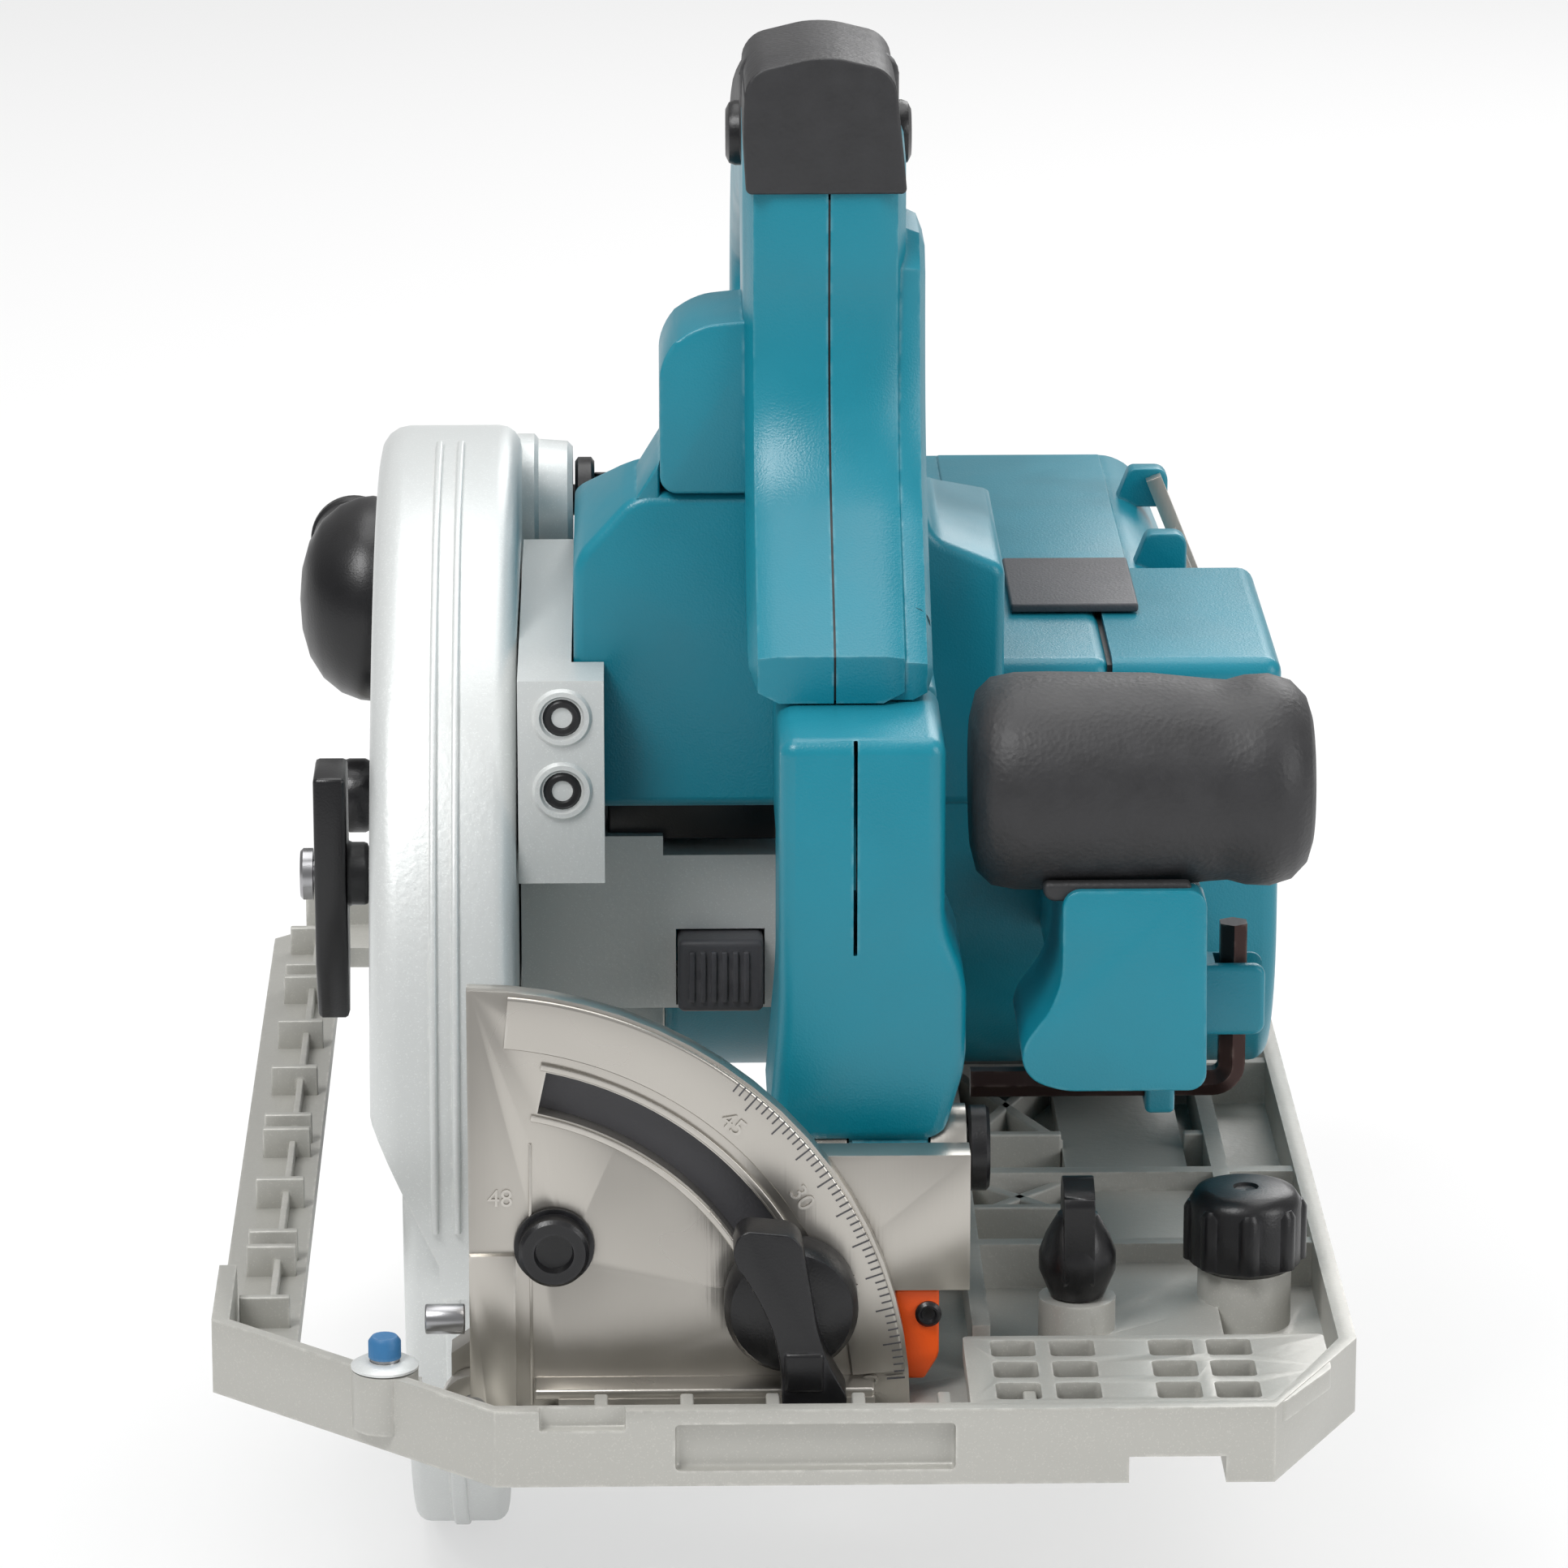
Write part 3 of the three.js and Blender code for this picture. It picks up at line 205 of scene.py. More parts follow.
def lathe(profile, axis, a, b, steps=48):
    """A turned piece: (radius, place along the axis) points spun right round a line through (a, b)."""
    bm = bmesh.new()
    k = "XYZ".index(axis)
    side = {"X": (0, 1, 0), "Y": (1, 0, 0), "Z": (1, 0, 0)}[axis]
    centre = spot(axis, a, b, 0)
    verts = []
    for radius, along in profile:
        point = centre.copy()
        point[k] = along * MM
        verts.append(bm.verts.new(point + Vector(side) * radius * MM))
    edges = [bm.edges.new(pair) for pair in zip(verts, verts[1:])]
    turn = Vector((0, 0, 0))
    turn[k] = 1
    bmesh.ops.spin(
        bm, geom=verts + edges, cent=centre, axis=turn, angle=2 * math.pi, steps=steps,
        use_merge=True, use_duplicate=False)
    bmesh.ops.remove_doubles(bm, verts=bm.verts[:], dist=1e-6)
    bmesh.ops.recalc_face_normals(bm, faces=bm.faces[:])
    return bm


def arc_band(profile, centre, start, sweep, steps, corner=0.0, axis="X"):
    """A closed (place along the axis, radius) section swept through part of a turn; angles run from +Y to +Z
    about X, and from +X to +Z about Y."""
    bm = bmesh.new()
    cy, cz = centre
    if axis == "X":
        outline_face(bm, "Z", [(x, cy + r, *more) for x, r, *more in profile], cz, corner, 4)
        turn, middle, sign = Vector((1, 0, 0)), Vector((0, cy, cz)) * MM, 1
    else:
        outline_face(bm, "Z", [(cy + r, y, *more) for y, r, *more in profile], cz, corner, 4)
        turn, middle, sign = Vector((0, 1, 0)), Vector((cy, 0, cz)) * MM, -1
    bmesh.ops.rotate(
        bm, verts=bm.verts[:], cent=middle, matrix=Matrix.Rotation(sign * math.radians(start), 3, turn))
    whole = sweep >= FULL_TURN
    if whole:
        bmesh.ops.delete(bm, geom=bm.faces[:], context="FACES_ONLY")
    bmesh.ops.spin(
        bm, geom=bm.verts[:] + bm.edges[:] + bm.faces[:], cent=middle, axis=turn,
        angle=sign * math.radians(sweep), steps=steps, use_merge=whole, use_duplicate=False)
    bmesh.ops.recalc_face_normals(bm, faces=bm.faces[:])
    return bm


def together(*parts):
    """Several shapes as one mesh."""
    whole = parts[0]
    for part in parts[1:]:
        mesh = bpy.data.meshes.new("joining")
        part.to_mesh(mesh)
        part.free()
        whole.from_mesh(mesh)
        bpy.data.meshes.remove(mesh)
    return whole


def turned(bm, axis, degrees, centre):
    """The shape turned about a line through centre."""
    bmesh.ops.rotate(
        bm, verts=bm.verts[:], cent=Vector(centre) * MM, matrix=Matrix.Rotation(math.radians(degrees), 3, axis))
    return bm


def shifted(bm, x=0.0, y=0.0, z=0.0):
    """The shape moved."""
    bmesh.ops.translate(bm, verts=bm.verts[:], vec=Vector((x, y, z)) * MM)
    return bm


def softened(node, width, rim_steps=2, sharp=40):
    """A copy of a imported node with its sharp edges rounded."""
    bm = bmesh.new()
    bm.from_mesh(frame["nodes"][node].data)
    bmesh.ops.remove_doubles(bm, verts=bm.verts[:], dist=1e-5)
    bmesh.ops.dissolve_limit(bm, angle_limit=math.radians(0.5), verts=bm.verts[:], edges=bm.edges[:])
    edges = [
        e for e in bm.edges
        if len(e.link_faces) == 2 and e.calc_face_angle(0) > math.radians(sharp)
        and e.calc_length() > width * MM]
    bmesh.ops.bevel(
        bm, geom=edges, offset=width * MM, offset_type="OFFSET", segments=rim_steps,
        profile=0.5, affect="EDGES", material=-1, clamp_overlap=True)
    return bm


def socket_screw(axis, a, b, face, out, radius=4.0, tall=3.0):
    """A cap screw's head with a round recess; out is +1 or -1, the way its head points."""
    top = face + out * tall
    head = lathe(
        [(0.001, face), (radius, face), (radius, top - out * 0.5), (radius - 0.5, top), (radius * 0.62, top),
         (radius * 0.56, top - out * 0.3), (radius * 0.5, top - out * tall * 0.7), (0.001, top - out * tall * 0.75)],
        axis, a, b, 24)
    return head


def made(name, bm, finish, replaced=(), body=None, sharp=38):
    """Makes the shape an object that rides on its body and stands for the nodes named."""
    replaced = [replaced] if isinstance(replaced, str) else list(replaced)
    bmesh.ops.remove_doubles(bm, verts=bm.verts[:], dist=1e-6)
    bmesh.ops.dissolve_degenerate(bm, dist=1e-6, edges=bm.edges[:])
    bmesh.ops.recalc_face_normals(bm, faces=bm.faces[:])
    mesh = bpy.data.meshes.new(name)
    bm.to_mesh(mesh)
    bm.free()
    mesh.shade_smooth()
    mesh.set_sharp_from_angle(angle=math.radians(sharp))
    mesh.materials.append(finishes[finish])
    piece = bpy.data.objects.new(name, mesh)
    bpy.context.scene.collection.objects.link(piece)
    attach(piece, body or BODY_OF[replaced[0]])
    if replaced:
        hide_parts(*replaced)
    return piece


# ---- Shader groups ----
def shader_group(name, inputs, outputs):
    """An empty node group with its sockets: inputs as (name, type, default), outputs as (name, type)."""
    tree = bpy.data.node_groups.new(name, "ShaderNodeTree")
    for label, kind, default in inputs:
        socket = tree.interface.new_socket(name=label, in_out="INPUT", socket_type=kind)
        socket.default_value = default
    for label, kind in outputs:
        tree.interface.new_socket(name=label, in_out="OUTPUT", socket_type=kind)
    return tree, tree.nodes.new("NodeGroupInput"), tree.nodes.new("NodeGroupOutput")


def node(tree, kind, **settings):
    """A shader node with its properties and input values set; a value may be a socket to link."""
    made_node = tree.nodes.new(kind)
    values = settings.pop("values", {})
    for key, value in settings.items():
        setattr(made_node, key, value)
    for key, value in values.items():
        if isinstance(value, bpy.types.NodeSocket):
            tree.links.new(value, made_node.inputs[key])
        else:
            made_node.inputs[key].default_value = value
    return made_node


FLOAT, COLOUR, VECTOR = "NodeSocketFloat", "NodeSocketColor", "NodeSocketVector"


def moulded_grain():
    """Spark-eroded mould texture: fine pits with a soft larger mottle."""
    tree, given, result = shader_group(
        "Moulded grain", [("Scale", FLOAT, 2500.0), ("Mottle", FLOAT, 120.0)],
        [("Height", FLOAT), ("Tone", FLOAT)])
    place = node(tree, "ShaderNodeTexCoord").outputs["Object"]
    pits = node(tree, "ShaderNodeTexVoronoi", feature="SMOOTH_F1",
                values={"Vector": place, "Scale": given.outputs["Scale"], "Smoothness": 0.6})
    fine = node(tree, "ShaderNodeTexNoise",
                values={"Vector": place, "Scale": given.outputs["Scale"], "Detail": 2.0})
    mottle = node(tree, "ShaderNodeTexNoise",
                  values={"Vector": place, "Scale": given.outputs["Mottle"], "Detail": 4.0})
    height = node(tree, "ShaderNodeMath", operation="MULTIPLY",
                  values={0: pits.outputs["Distance"], 1: fine.outputs["Fac"]})
    tree.links.new(height.outputs[0], result.inputs["Height"])
    tree.links.new(mottle.outputs["Fac"], result.inputs["Tone"])
    return tree


def cast_skin():
    """Painted casting: a soft orange-peel with tiny bright flakes."""
    tree, given, result = shader_group(
        "Cast skin", [("Scale", FLOAT, 900.0), ("Flakes", FLOAT, 5000.0)],
        [("Height", FLOAT), ("Sparkle", FLOAT)])
    place = node(tree, "ShaderNodeTexCoord").outputs["Object"]
    peel = node(tree, "ShaderNodeTexNoise",
                values={"Vector": place, "Scale": given.outputs["Scale"], "Detail": 3.0})
    flakes = node(tree, "ShaderNodeTexVoronoi",
                  values={"Vector": place, "Scale": given.outputs["Flakes"]})
    bright = node(tree, "ShaderNodeSeparateColor", values={0: flakes.outputs["Color"]})
    lit = node(tree, "ShaderNodeMapRange",
               values={"Value": bright.outputs[0], "From Min": 0.86, "From Max": 1.0})
    tree.links.new(peel.outputs["Fac"], result.inputs["Height"])
    tree.links.new(lit.outputs["Result"], result.inputs["Sparkle"])
    return tree


def brushed_lines():
    """Grinding marks drawn out along one direction."""
    tree, given, result = shader_group(
        "Brushed lines", [("Stretch", VECTOR, (60.0, 60.0, 2500.0))],
        [("Height", FLOAT), ("Tone", FLOAT)])
    place = node(tree, "ShaderNodeTexCoord").outputs["Object"]
    drawn = node(tree, "ShaderNodeVectorMath", operation="MULTIPLY",
                 values={0: place, 1: given.outputs["Stretch"]})
    lines = node(tree, "ShaderNodeTexNoise",
                 values={"Vector": drawn.outputs[0], "Scale": 1.0, "Detail": 3.0})
    broad = node(tree, "ShaderNodeTexNoise", values={"Vector": place, "Scale": 40.0, "Detail": 2.0})
    tree.links.new(lines.outputs["Fac"], result.inputs["Height"])
    tree.links.new(broad.outputs["Fac"], result.inputs["Tone"])
    return tree


def edge_wear():
    """A mask along outer edges, broken up by noise."""
    tree, given, result = shader_group(
        "Edge wear", [("Amount", FLOAT, 0.3), ("Scale", FLOAT, 350.0)], [("Mask", FLOAT)])
    place = node(tree, "ShaderNodeTexCoord").outputs["Object"]
    rounded = node(tree, "ShaderNodeBevel", samples=4, values={"Radius": 0.0009})
    flat = node(tree, "ShaderNodeNewGeometry").outputs["Normal"]
    agreement = node(tree, "ShaderNodeVectorMath", operation="DOT_PRODUCT",
                     values={0: rounded.outputs["Normal"], 1: flat})
    outer = node(tree, "ShaderNodeMapRange",
                 values={"Value": agreement.outputs["Value"], "From Min": 0.985, "From Max": 0.9})
    broken = node(tree, "ShaderNodeTexNoise",
                  values={"Vector": place, "Scale": given.outputs["Scale"], "Detail": 5.0})
    gap = node(tree, "ShaderNodeMapRange",
               values={"Value": broken.outputs["Fac"], "From Min": 0.42, "From Max": 0.62})
    both = node(tree, "ShaderNodeMath", operation="MULTIPLY",
                values={0: outer.outputs["Result"], 1: gap.outputs["Result"]})
    scaled = node(tree, "ShaderNodeMath", operation="MULTIPLY",
                  values={0: both.outputs[0], 1: given.outputs["Amount"]})
    tree.links.new(scaled.outputs[0], result.inputs["Mask"])
    return tree


def settled_dust():
    """A mask of fine dust on faces that look up."""
    tree, given, result = shader_group(
        "Settled dust", [("Amount", FLOAT, 0.1), ("Scale", FLOAT, 90.0)], [("Mask", FLOAT)])
    place = node(tree, "ShaderNodeTexCoord").outputs["Object"]
    facing = node(tree, "ShaderNodeSeparateXYZ",
                  values={0: node(tree, "ShaderNodeNewGeometry").outputs["Normal"]})
    up = node(tree, "ShaderNodeMapRange",
              values={"Value": facing.outputs["Z"], "From Min": 0.3, "From Max": 1.0})
    cloud = node(tree, "ShaderNodeTexNoise",
                 values={"Vector": place, "Scale": given.outputs["Scale"], "Detail": 6.0})
    both = node(tree, "ShaderNodeMath", operation="MULTIPLY",
                values={0: up.outputs["Result"], 1: cloud.outputs["Fac"]})
    scaled = node(tree, "ShaderNodeMath", operation="MULTIPLY",
                  values={0: both.outputs[0], 1: given.outputs["Amount"]})
    tree.links.new(scaled.outputs[0], result.inputs["Mask"])
    return tree


def linear(hex_colour):
    """A display colour such as 0x1A8AA5 as linear red, green, blue, alpha."""
    parts = [((hex_colour >> shift) & 255) / 255 for shift in (16, 8, 0)]
    return [p / 12.92 if p <= 0.04045 else ((p + 0.055) / 1.055) ** 2.4 for p in parts] + [1.0]


def paint(name, colour, groups, grain, roughness, metallic=0.0, coat=0.0, depth=0.3, vary=0.08,
          worn=(1, 1, 1, 1), wear=0.2, dust=0.05, rough_vary=0.1, specular=0.5, **values):
    """A surface finish: a base colour with its grain, tone, edge wear and settled dust."""
    material = bpy.data.materials.new(name)
    material.use_nodes = True
    tree = material.node_tree
    shader = tree.nodes["Principled BSDF"]
    texture = node(tree, "ShaderNodeGroup", node_tree=groups[grain])
    for key, value in values.items():
        texture.inputs[key].default_value = value
    edges = node(tree, "ShaderNodeGroup", node_tree=groups["edge"])
    edges.inputs["Amount"].default_value = wear
    settled = node(tree, "ShaderNodeGroup", node_tree=groups["dust"])
    settled.inputs["Amount"].default_value = dust
    tone = texture.outputs[1]
    shade = node(tree, "ShaderNodeMapRange",
                 values={"Value": tone, "From Min": 0.3, "From Max": 0.7, "To Min": 1 - vary, "To Max": 1 + vary})
    varied = node(tree, "ShaderNodeVectorMath", operation="SCALE", values={0: colour[:3]})
    tree.links.new(shade.outputs["Result"], varied.inputs["Scale"])
    worn_mix = node(tree, "ShaderNodeMix", data_type="RGBA")
    tree.links.new(edges.outputs["Mask"], worn_mix.inputs[0])
    tree.links.new(varied.outputs[0], worn_mix.inputs[6])
    worn_mix.inputs[7].default_value = worn
    dust_mix = node(tree, "ShaderNodeMix", data_type="RGBA")
    tree.links.new(settled.outputs["Mask"], dust_mix.inputs[0])
    tree.links.new(worn_mix.outputs[2], dust_mix.inputs[6])
    dust_mix.inputs[7].default_value = (0.55, 0.53, 0.5, 1)
    tree.links.new(dust_mix.outputs[2], shader.inputs["Base Color"])
    rough = node(tree, "ShaderNodeMapRange",
                 values={"Value": tone, "From Min": 0.3, "From Max": 0.7,
                         "To Min": roughness - rough_vary / 2, "To Max": roughness + rough_vary / 2})
    tree.links.new(rough.outputs["Result"], shader.inputs["Roughness"])
    bump = node(tree, "ShaderNodeBump", values={"Strength": depth, "Distance": 0.0002})
    tree.links.new(texture.outputs[0], bump.inputs["Height"])
    tree.links.new(bump.outputs["Normal"], shader.inputs["Normal"])
    shader.inputs["Metallic"].default_value = metallic
    shader.inputs["Coat Weight"].default_value = coat
    shader.inputs["Specular IOR Level"].default_value = specular
    material.diffuse_color = colour
    finishes[name] = material
    return material


class SawColours(bpy.types.PropertyGroup):
    """Colours of the mouldings and castings."""
    teal: bpy.props.FloatVectorProperty(
        name="Body plastic", description="Housings and handle", subtype="COLOR", size=4,
        min=0, max=1, default=linear(0x0A7F93))
    rubber: bpy.props.FloatVectorProperty(
        name="Rubber", description="Grip overmoulding", subtype="COLOR", size=4,
        min=0, max=1, default=linear(0x2B2B2D))
    casting: bpy.props.FloatVectorProperty(
        name="Castings", description="Painted blade case and gear housing", subtype="COLOR", size=4,
        min=0, max=1, default=linear(0xDDE0DF))
    sole: bpy.props.FloatVectorProperty(
        name="Sole", description="Cast sole plate", subtype="COLOR", size=4,
        min=0, max=1, default=linear(0xB9B8B2))
    marks: bpy.props.FloatVectorProperty(
        name="Pointer", description="Bright pointer by the angle scale", subtype="COLOR", size=4,
        min=0, max=1, default=linear(0xFF5F14))


class SawSizes(bpy.types.PropertyGroup):
    """Small sizes of the mouldings that may be changed without touching a fit."""
    edge: bpy.props.FloatProperty(
        name="Moulded edge", description="Rounding of the housings' outer edges, in millimetres",
        default=2.6, min=0.4, max=5.0)
    grip_edge: bpy.props.FloatProperty(
        name="Grip edge", description="Rounding of the rear handle's edges, in millimetres",
        default=5.0, min=2.0, max=11.0)
    rib: bpy.props.FloatProperty(
        name="Rib", description="Thickness of the sole's ribs, in millimetres", default=2.2, min=1.0, max=4.0)
    numeral: bpy.props.FloatProperty(
        name="Numerals", description="Height of the angle scale's numbers, in millimetres",
        default=4.2, min=2.0, max=6.0)


class SAW_OT_finishes(bpy.types.Operator):
    """Make the plastics, rubber, castings and metals"""
    bl_idname = "saw.finishes"
    bl_label = "Finishes"

    def execute(self, context):
        colours = context.scene.saw_colours
        groups = {
            "moulded": moulded_grain(), "cast": cast_skin(), "brushed": brushed_lines(),
            "edge": edge_wear(), "dust": settled_dust()}
        pale = linear(0x9FC9D2)
        paint("teal_plastic", colours.teal, groups, "moulded", 0.34, worn=pale, wear=0.25,
              depth=0.25, dust=0.03, Scale=2600.0, Mottle=60.0, vary=0.04, specular=0.5)
        paint("rubber", colours.rubber, groups, "moulded", 0.5, worn=linear(0x5A5A5C), wear=0.3,
              depth=0.6, dust=0.05, Scale=1100.0, Mottle=200.0, vary=0.15, specular=0.5)
        paint("silver_casting", colours.casting, groups, "cast", 0.42, metallic=0.25,
              worn=linear(0xF0F0EC), wear=0.35, depth=0.3, dust=0.05, vary=0.05)
        paint("magnesium", colours.sole, groups, "cast", 0.46, metallic=0.2,
              worn=linear(0xF2F0EA), wear=0.4, depth=0.4, dust=0.08, vary=0.06, Scale=650.0)
        paint("nickel", linear(0xBEBAB3), groups, "brushed", 0.3, metallic=0.9,
              worn=linear(0xE6E4DF), wear=0.3, depth=0.12, dust=0.03, vary=0.06,
              Stretch=(2200.0, 60.0, 60.0))
        paint("black_plastic", linear(0x101013), groups, "moulded", 0.34, worn=linear(0x3C3C40),
              wear=0.4, depth=0.15, dust=0.04, Scale=2400.0, vary=0.1)
        paint("orange_plastic", colours.marks, groups, "moulded", 0.4, worn=linear(0xFFA877),
              wear=0.2, depth=0.15, Scale=2400.0)
        paint("steel", linear(0xA6A6A8), groups, "brushed", 0.28, metallic=1.0,
              worn=linear(0xDADADC), wear=0.3, depth=0.1, dust=0.02, Stretch=(60.0, 2200.0, 60.0))
        paint("dark_steel", linear(0x3A2B29), groups, "brushed", 0.36, metallic=0.85,
              worn=linear(0x8A7A74), wear=0.45, depth=0.1, Stretch=(2000.0, 60.0, 60.0))
        paint("copper", linear(0x8F5A36), groups, "brushed", 0.38, metallic=0.85,
              worn=linear(0xC28A5C), wear=0.2, depth=0.3, Stretch=(1500.0, 1500.0, 1500.0))
        paint("grey_plastic", linear(0x48484C), groups, "moulded", 0.5, worn=linear(0x7A7A7E),
              wear=0.3, depth=0.3, Scale=2000.0)
        paint("blue_thread", linear(0x2F6FA0), groups, "moulded", 0.5, wear=0.1, depth=0.3, Scale=1800.0)
        for part in frame["record"]["subparts"]:
            mesh = frame["nodes"][part["node"]].data
            mesh.materials.clear()
            mesh.materials.append(finishes[part["material_slot"]])
        return {"FINISHED"}


def carved(bm, *tools):
    """The shape less the tools."""
    mesh, cutting = bpy.data.meshes.new("whole"), bpy.data.meshes.new("cutter")
    bmesh.ops.recalc_face_normals(bm, faces=bm.faces[:])
    bm.to_mesh(mesh)
    bm.free()
    cutter = together(*tools)
    bmesh.ops.recalc_face_normals(cutter, faces=cutter.faces[:])
    cutter.to_mesh(cutting)
    cutter.free()
    objects = [bpy.data.objects.new(m.name, m) for m in (mesh, cutting)]
    for item in objects:
        bpy.context.scene.collection.objects.link(item)
    boolean = objects[0].modifiers.new("cut", "BOOLEAN")
    boolean.object, boolean.operation, boolean.solver = objects[1], "DIFFERENCE", "EXACT"
    boolean.use_self = True
    result = bmesh.new()
    result.from_object(objects[0], bpy.context.evaluated_depsgraph_get())
    for item in objects:
        bpy.data.objects.remove(item)
    for item in (mesh, cutting):
        bpy.data.meshes.remove(item)
    return result


ARBOR = pivot("blade_spin")
AROUND = (ARBOR[1], ARBOR[2])


class SAW_OT_blade_case(bpy.types.Operator):
    """Make the cast upper blade case with its stiffening ribs and dust port"""
    bl_idname = "saw.blade_case"
    bl_label = "Blade case"

    def execute(self, context):
        left, boss_end, low_y, _, lip, _ = span("blade_case")
        outer, wall = ARBOR[1] - low_y, 2.8
        right = ARBOR[0] + 10.7
        rear_edge = 17.0
        shell = arc_band(
            [(left, 26), (left, outer, 5), (right, outer, 4), (right, 13.4),
             (right - wall, 13.4), (right - wall, outer - wall, 2), (left + wall, outer - wall, 2.6),
             (left + wall, 26)], AROUND, 0, FULL_TURN, 128)
        leg = [(left - 1, -60), (left + 11.6, -60), (left + 11.6, 9), (left, 35), (left - 1, 35)]
        slot = arc_band(
            [(left - 2, 45), (left - 2, 55), (left + wall + 0.2, 55), (left + wall + 0.2, 45)],
            AROUND, 23, 134, 48)
        shell = carved(
            shell,
            block((-200, 0), (-66, 200), (-200, rear_edge), rim=0),
            block((-200, 0), (-200, -65), (-200, lip), rim=0),
            slab(leg, "Y", -200, 200), slot)
        boss_y, boss_z = pivot("port_knob_turn")[1:]
        boss = lathe(
            [(0.001, right - 1), (12.4, right - 1), (12.4, right + 2.2), (11.4, right + 3), (11, boss_end - 1),
             (10, boss_end), (4, boss_end), (0.001, boss_end - 0.6)], "X", boss_y, boss_z)
        ribs = [
            arc_band([(x, outer - 1), (x, outer + 0.9, 0.5), (x + 1.3, outer + 0.9, 0.5), (x + 1.3, outer - 1)],
                     AROUND, 92, 94, 64) for x in (-69.2, -65.4)]
        made("blade_case_shell", together(shell, boss, *ribs), "silver_casting", "blade_case", sharp=32)
        return {"FINISHED"}


class SAW_OT_guard(bpy.types.Operator):
    """Make the swinging lower guard and the knob that lifts it"""
    bl_idname = "saw.guard"
    bl_label = "Lower guard"

    def execute(self, context):
        left, right, low_y, _, _, _ = span("lower_guard")
        rib_high = 0.7
        outer, wall, inner_left = ARBOR[1] - low_y - rib_high, 1.5, 44
        shell = arc_band(
            [(left, inner_left), (left, outer, 2.6), (right, outer, 2.6), (right, 13.1), (right - wall, 13.1),
             (right - wall, outer - wall, 1.4), (left + wall, outer - wall, 1.4), (left + wall, inner_left)],
            AROUND, 178, 184, 96)
        arm = arc_band(
            [(left, inner_left), (left, 58), (left + wall, 58), (left + wall, inner_left)], AROUND, -2, 40, 24)
        hub = arc_band(
            [(right - wall, 13.1), (right - wall, 20), (right, 20), (right, 13.1)], AROUND, 0, FULL_TURN, 48)
        rib = arc_band(
            [(-67.4, outer - 0.6), (-67.4, outer + rib_high, 0.5), (-64.6, outer + rib_high, 0.5), (-64.6, outer - 0.6)],
            AROUND, 182, 100, 64)
        made("lower_guard_shell", together(shell, arm, hub, rib), "silver_casting", "lower_guard", sharp=32)
        knob_left, knob_right, y0, y1, z0, z1 = span("guard_lever")
        y, z = (y0 + y1) / 2, (z0 + z1) / 2
        knob = lathe(
            [(0.001, knob_left), (5.4, knob_left), (6.6, knob_left + 0.8), (7, knob_left + 2), (7, knob_left + 5),
             (6.2, knob_left + 6.6), (4, knob_left + 7), (4, knob_right), (0.001, knob_right)], "X", y, z)
        made("guard_lever_knob", knob, "black_plastic", "guard_lever")
        return {"FINISHED"}


class SAW_OT_gear_housing(bpy.types.Operator):
    """Make the cast gear housing, its screw plate and the shaft lock"""
    bl_idname = "saw.gear_housing"
    bl_label = "Gear housing"

    def execute(self, context):
        made("gear_housing_casting", softened("gear_housing", 0.9), "silver_casting", "gear_housing")
        left, _, front, _, _, _ = span("gear_housing")
        for i, z in enumerate((89.0, 102.0)):
            ring = lathe(
                [(5.2, front + 1), (5.2, front - 0.1), (4.7, front - 0.7), (3.9, front - 0.7), (3.5, front - 0.1),
                 (3.4, front + 1)], "Y", left + 7.6, z)
            made(f"screw_boss_{i}", ring, "silver_casting", body="saw_body")
            made(f"case_screw_{i}", socket_screw("Y", left + 7.6, z, front + 0.9, -1, 3.3, 1.4), "black_plastic",
                 body="saw_body")
        x0, x1, face, _, low, high = span("shaft_lock")
        grooves = [
            block((x0 + 2 + 1.9 * i, x0 + 3 + 1.9 * i), (face - 0.6, face + 0.4), (low + 2, high - 2), rim=0.25)
            for i in range(6)]
        made("shaft_lock_pad", together(softened("shaft_lock", 1.2, 4), *grooves), "grey_plastic", "shaft_lock")
        made("motor_gap_shade", block((-38.6, -9), (-58, -47), (72.2, 81.6), rim=0.5), "black_plastic",
             body="saw_body")
        return {"FINISHED"}


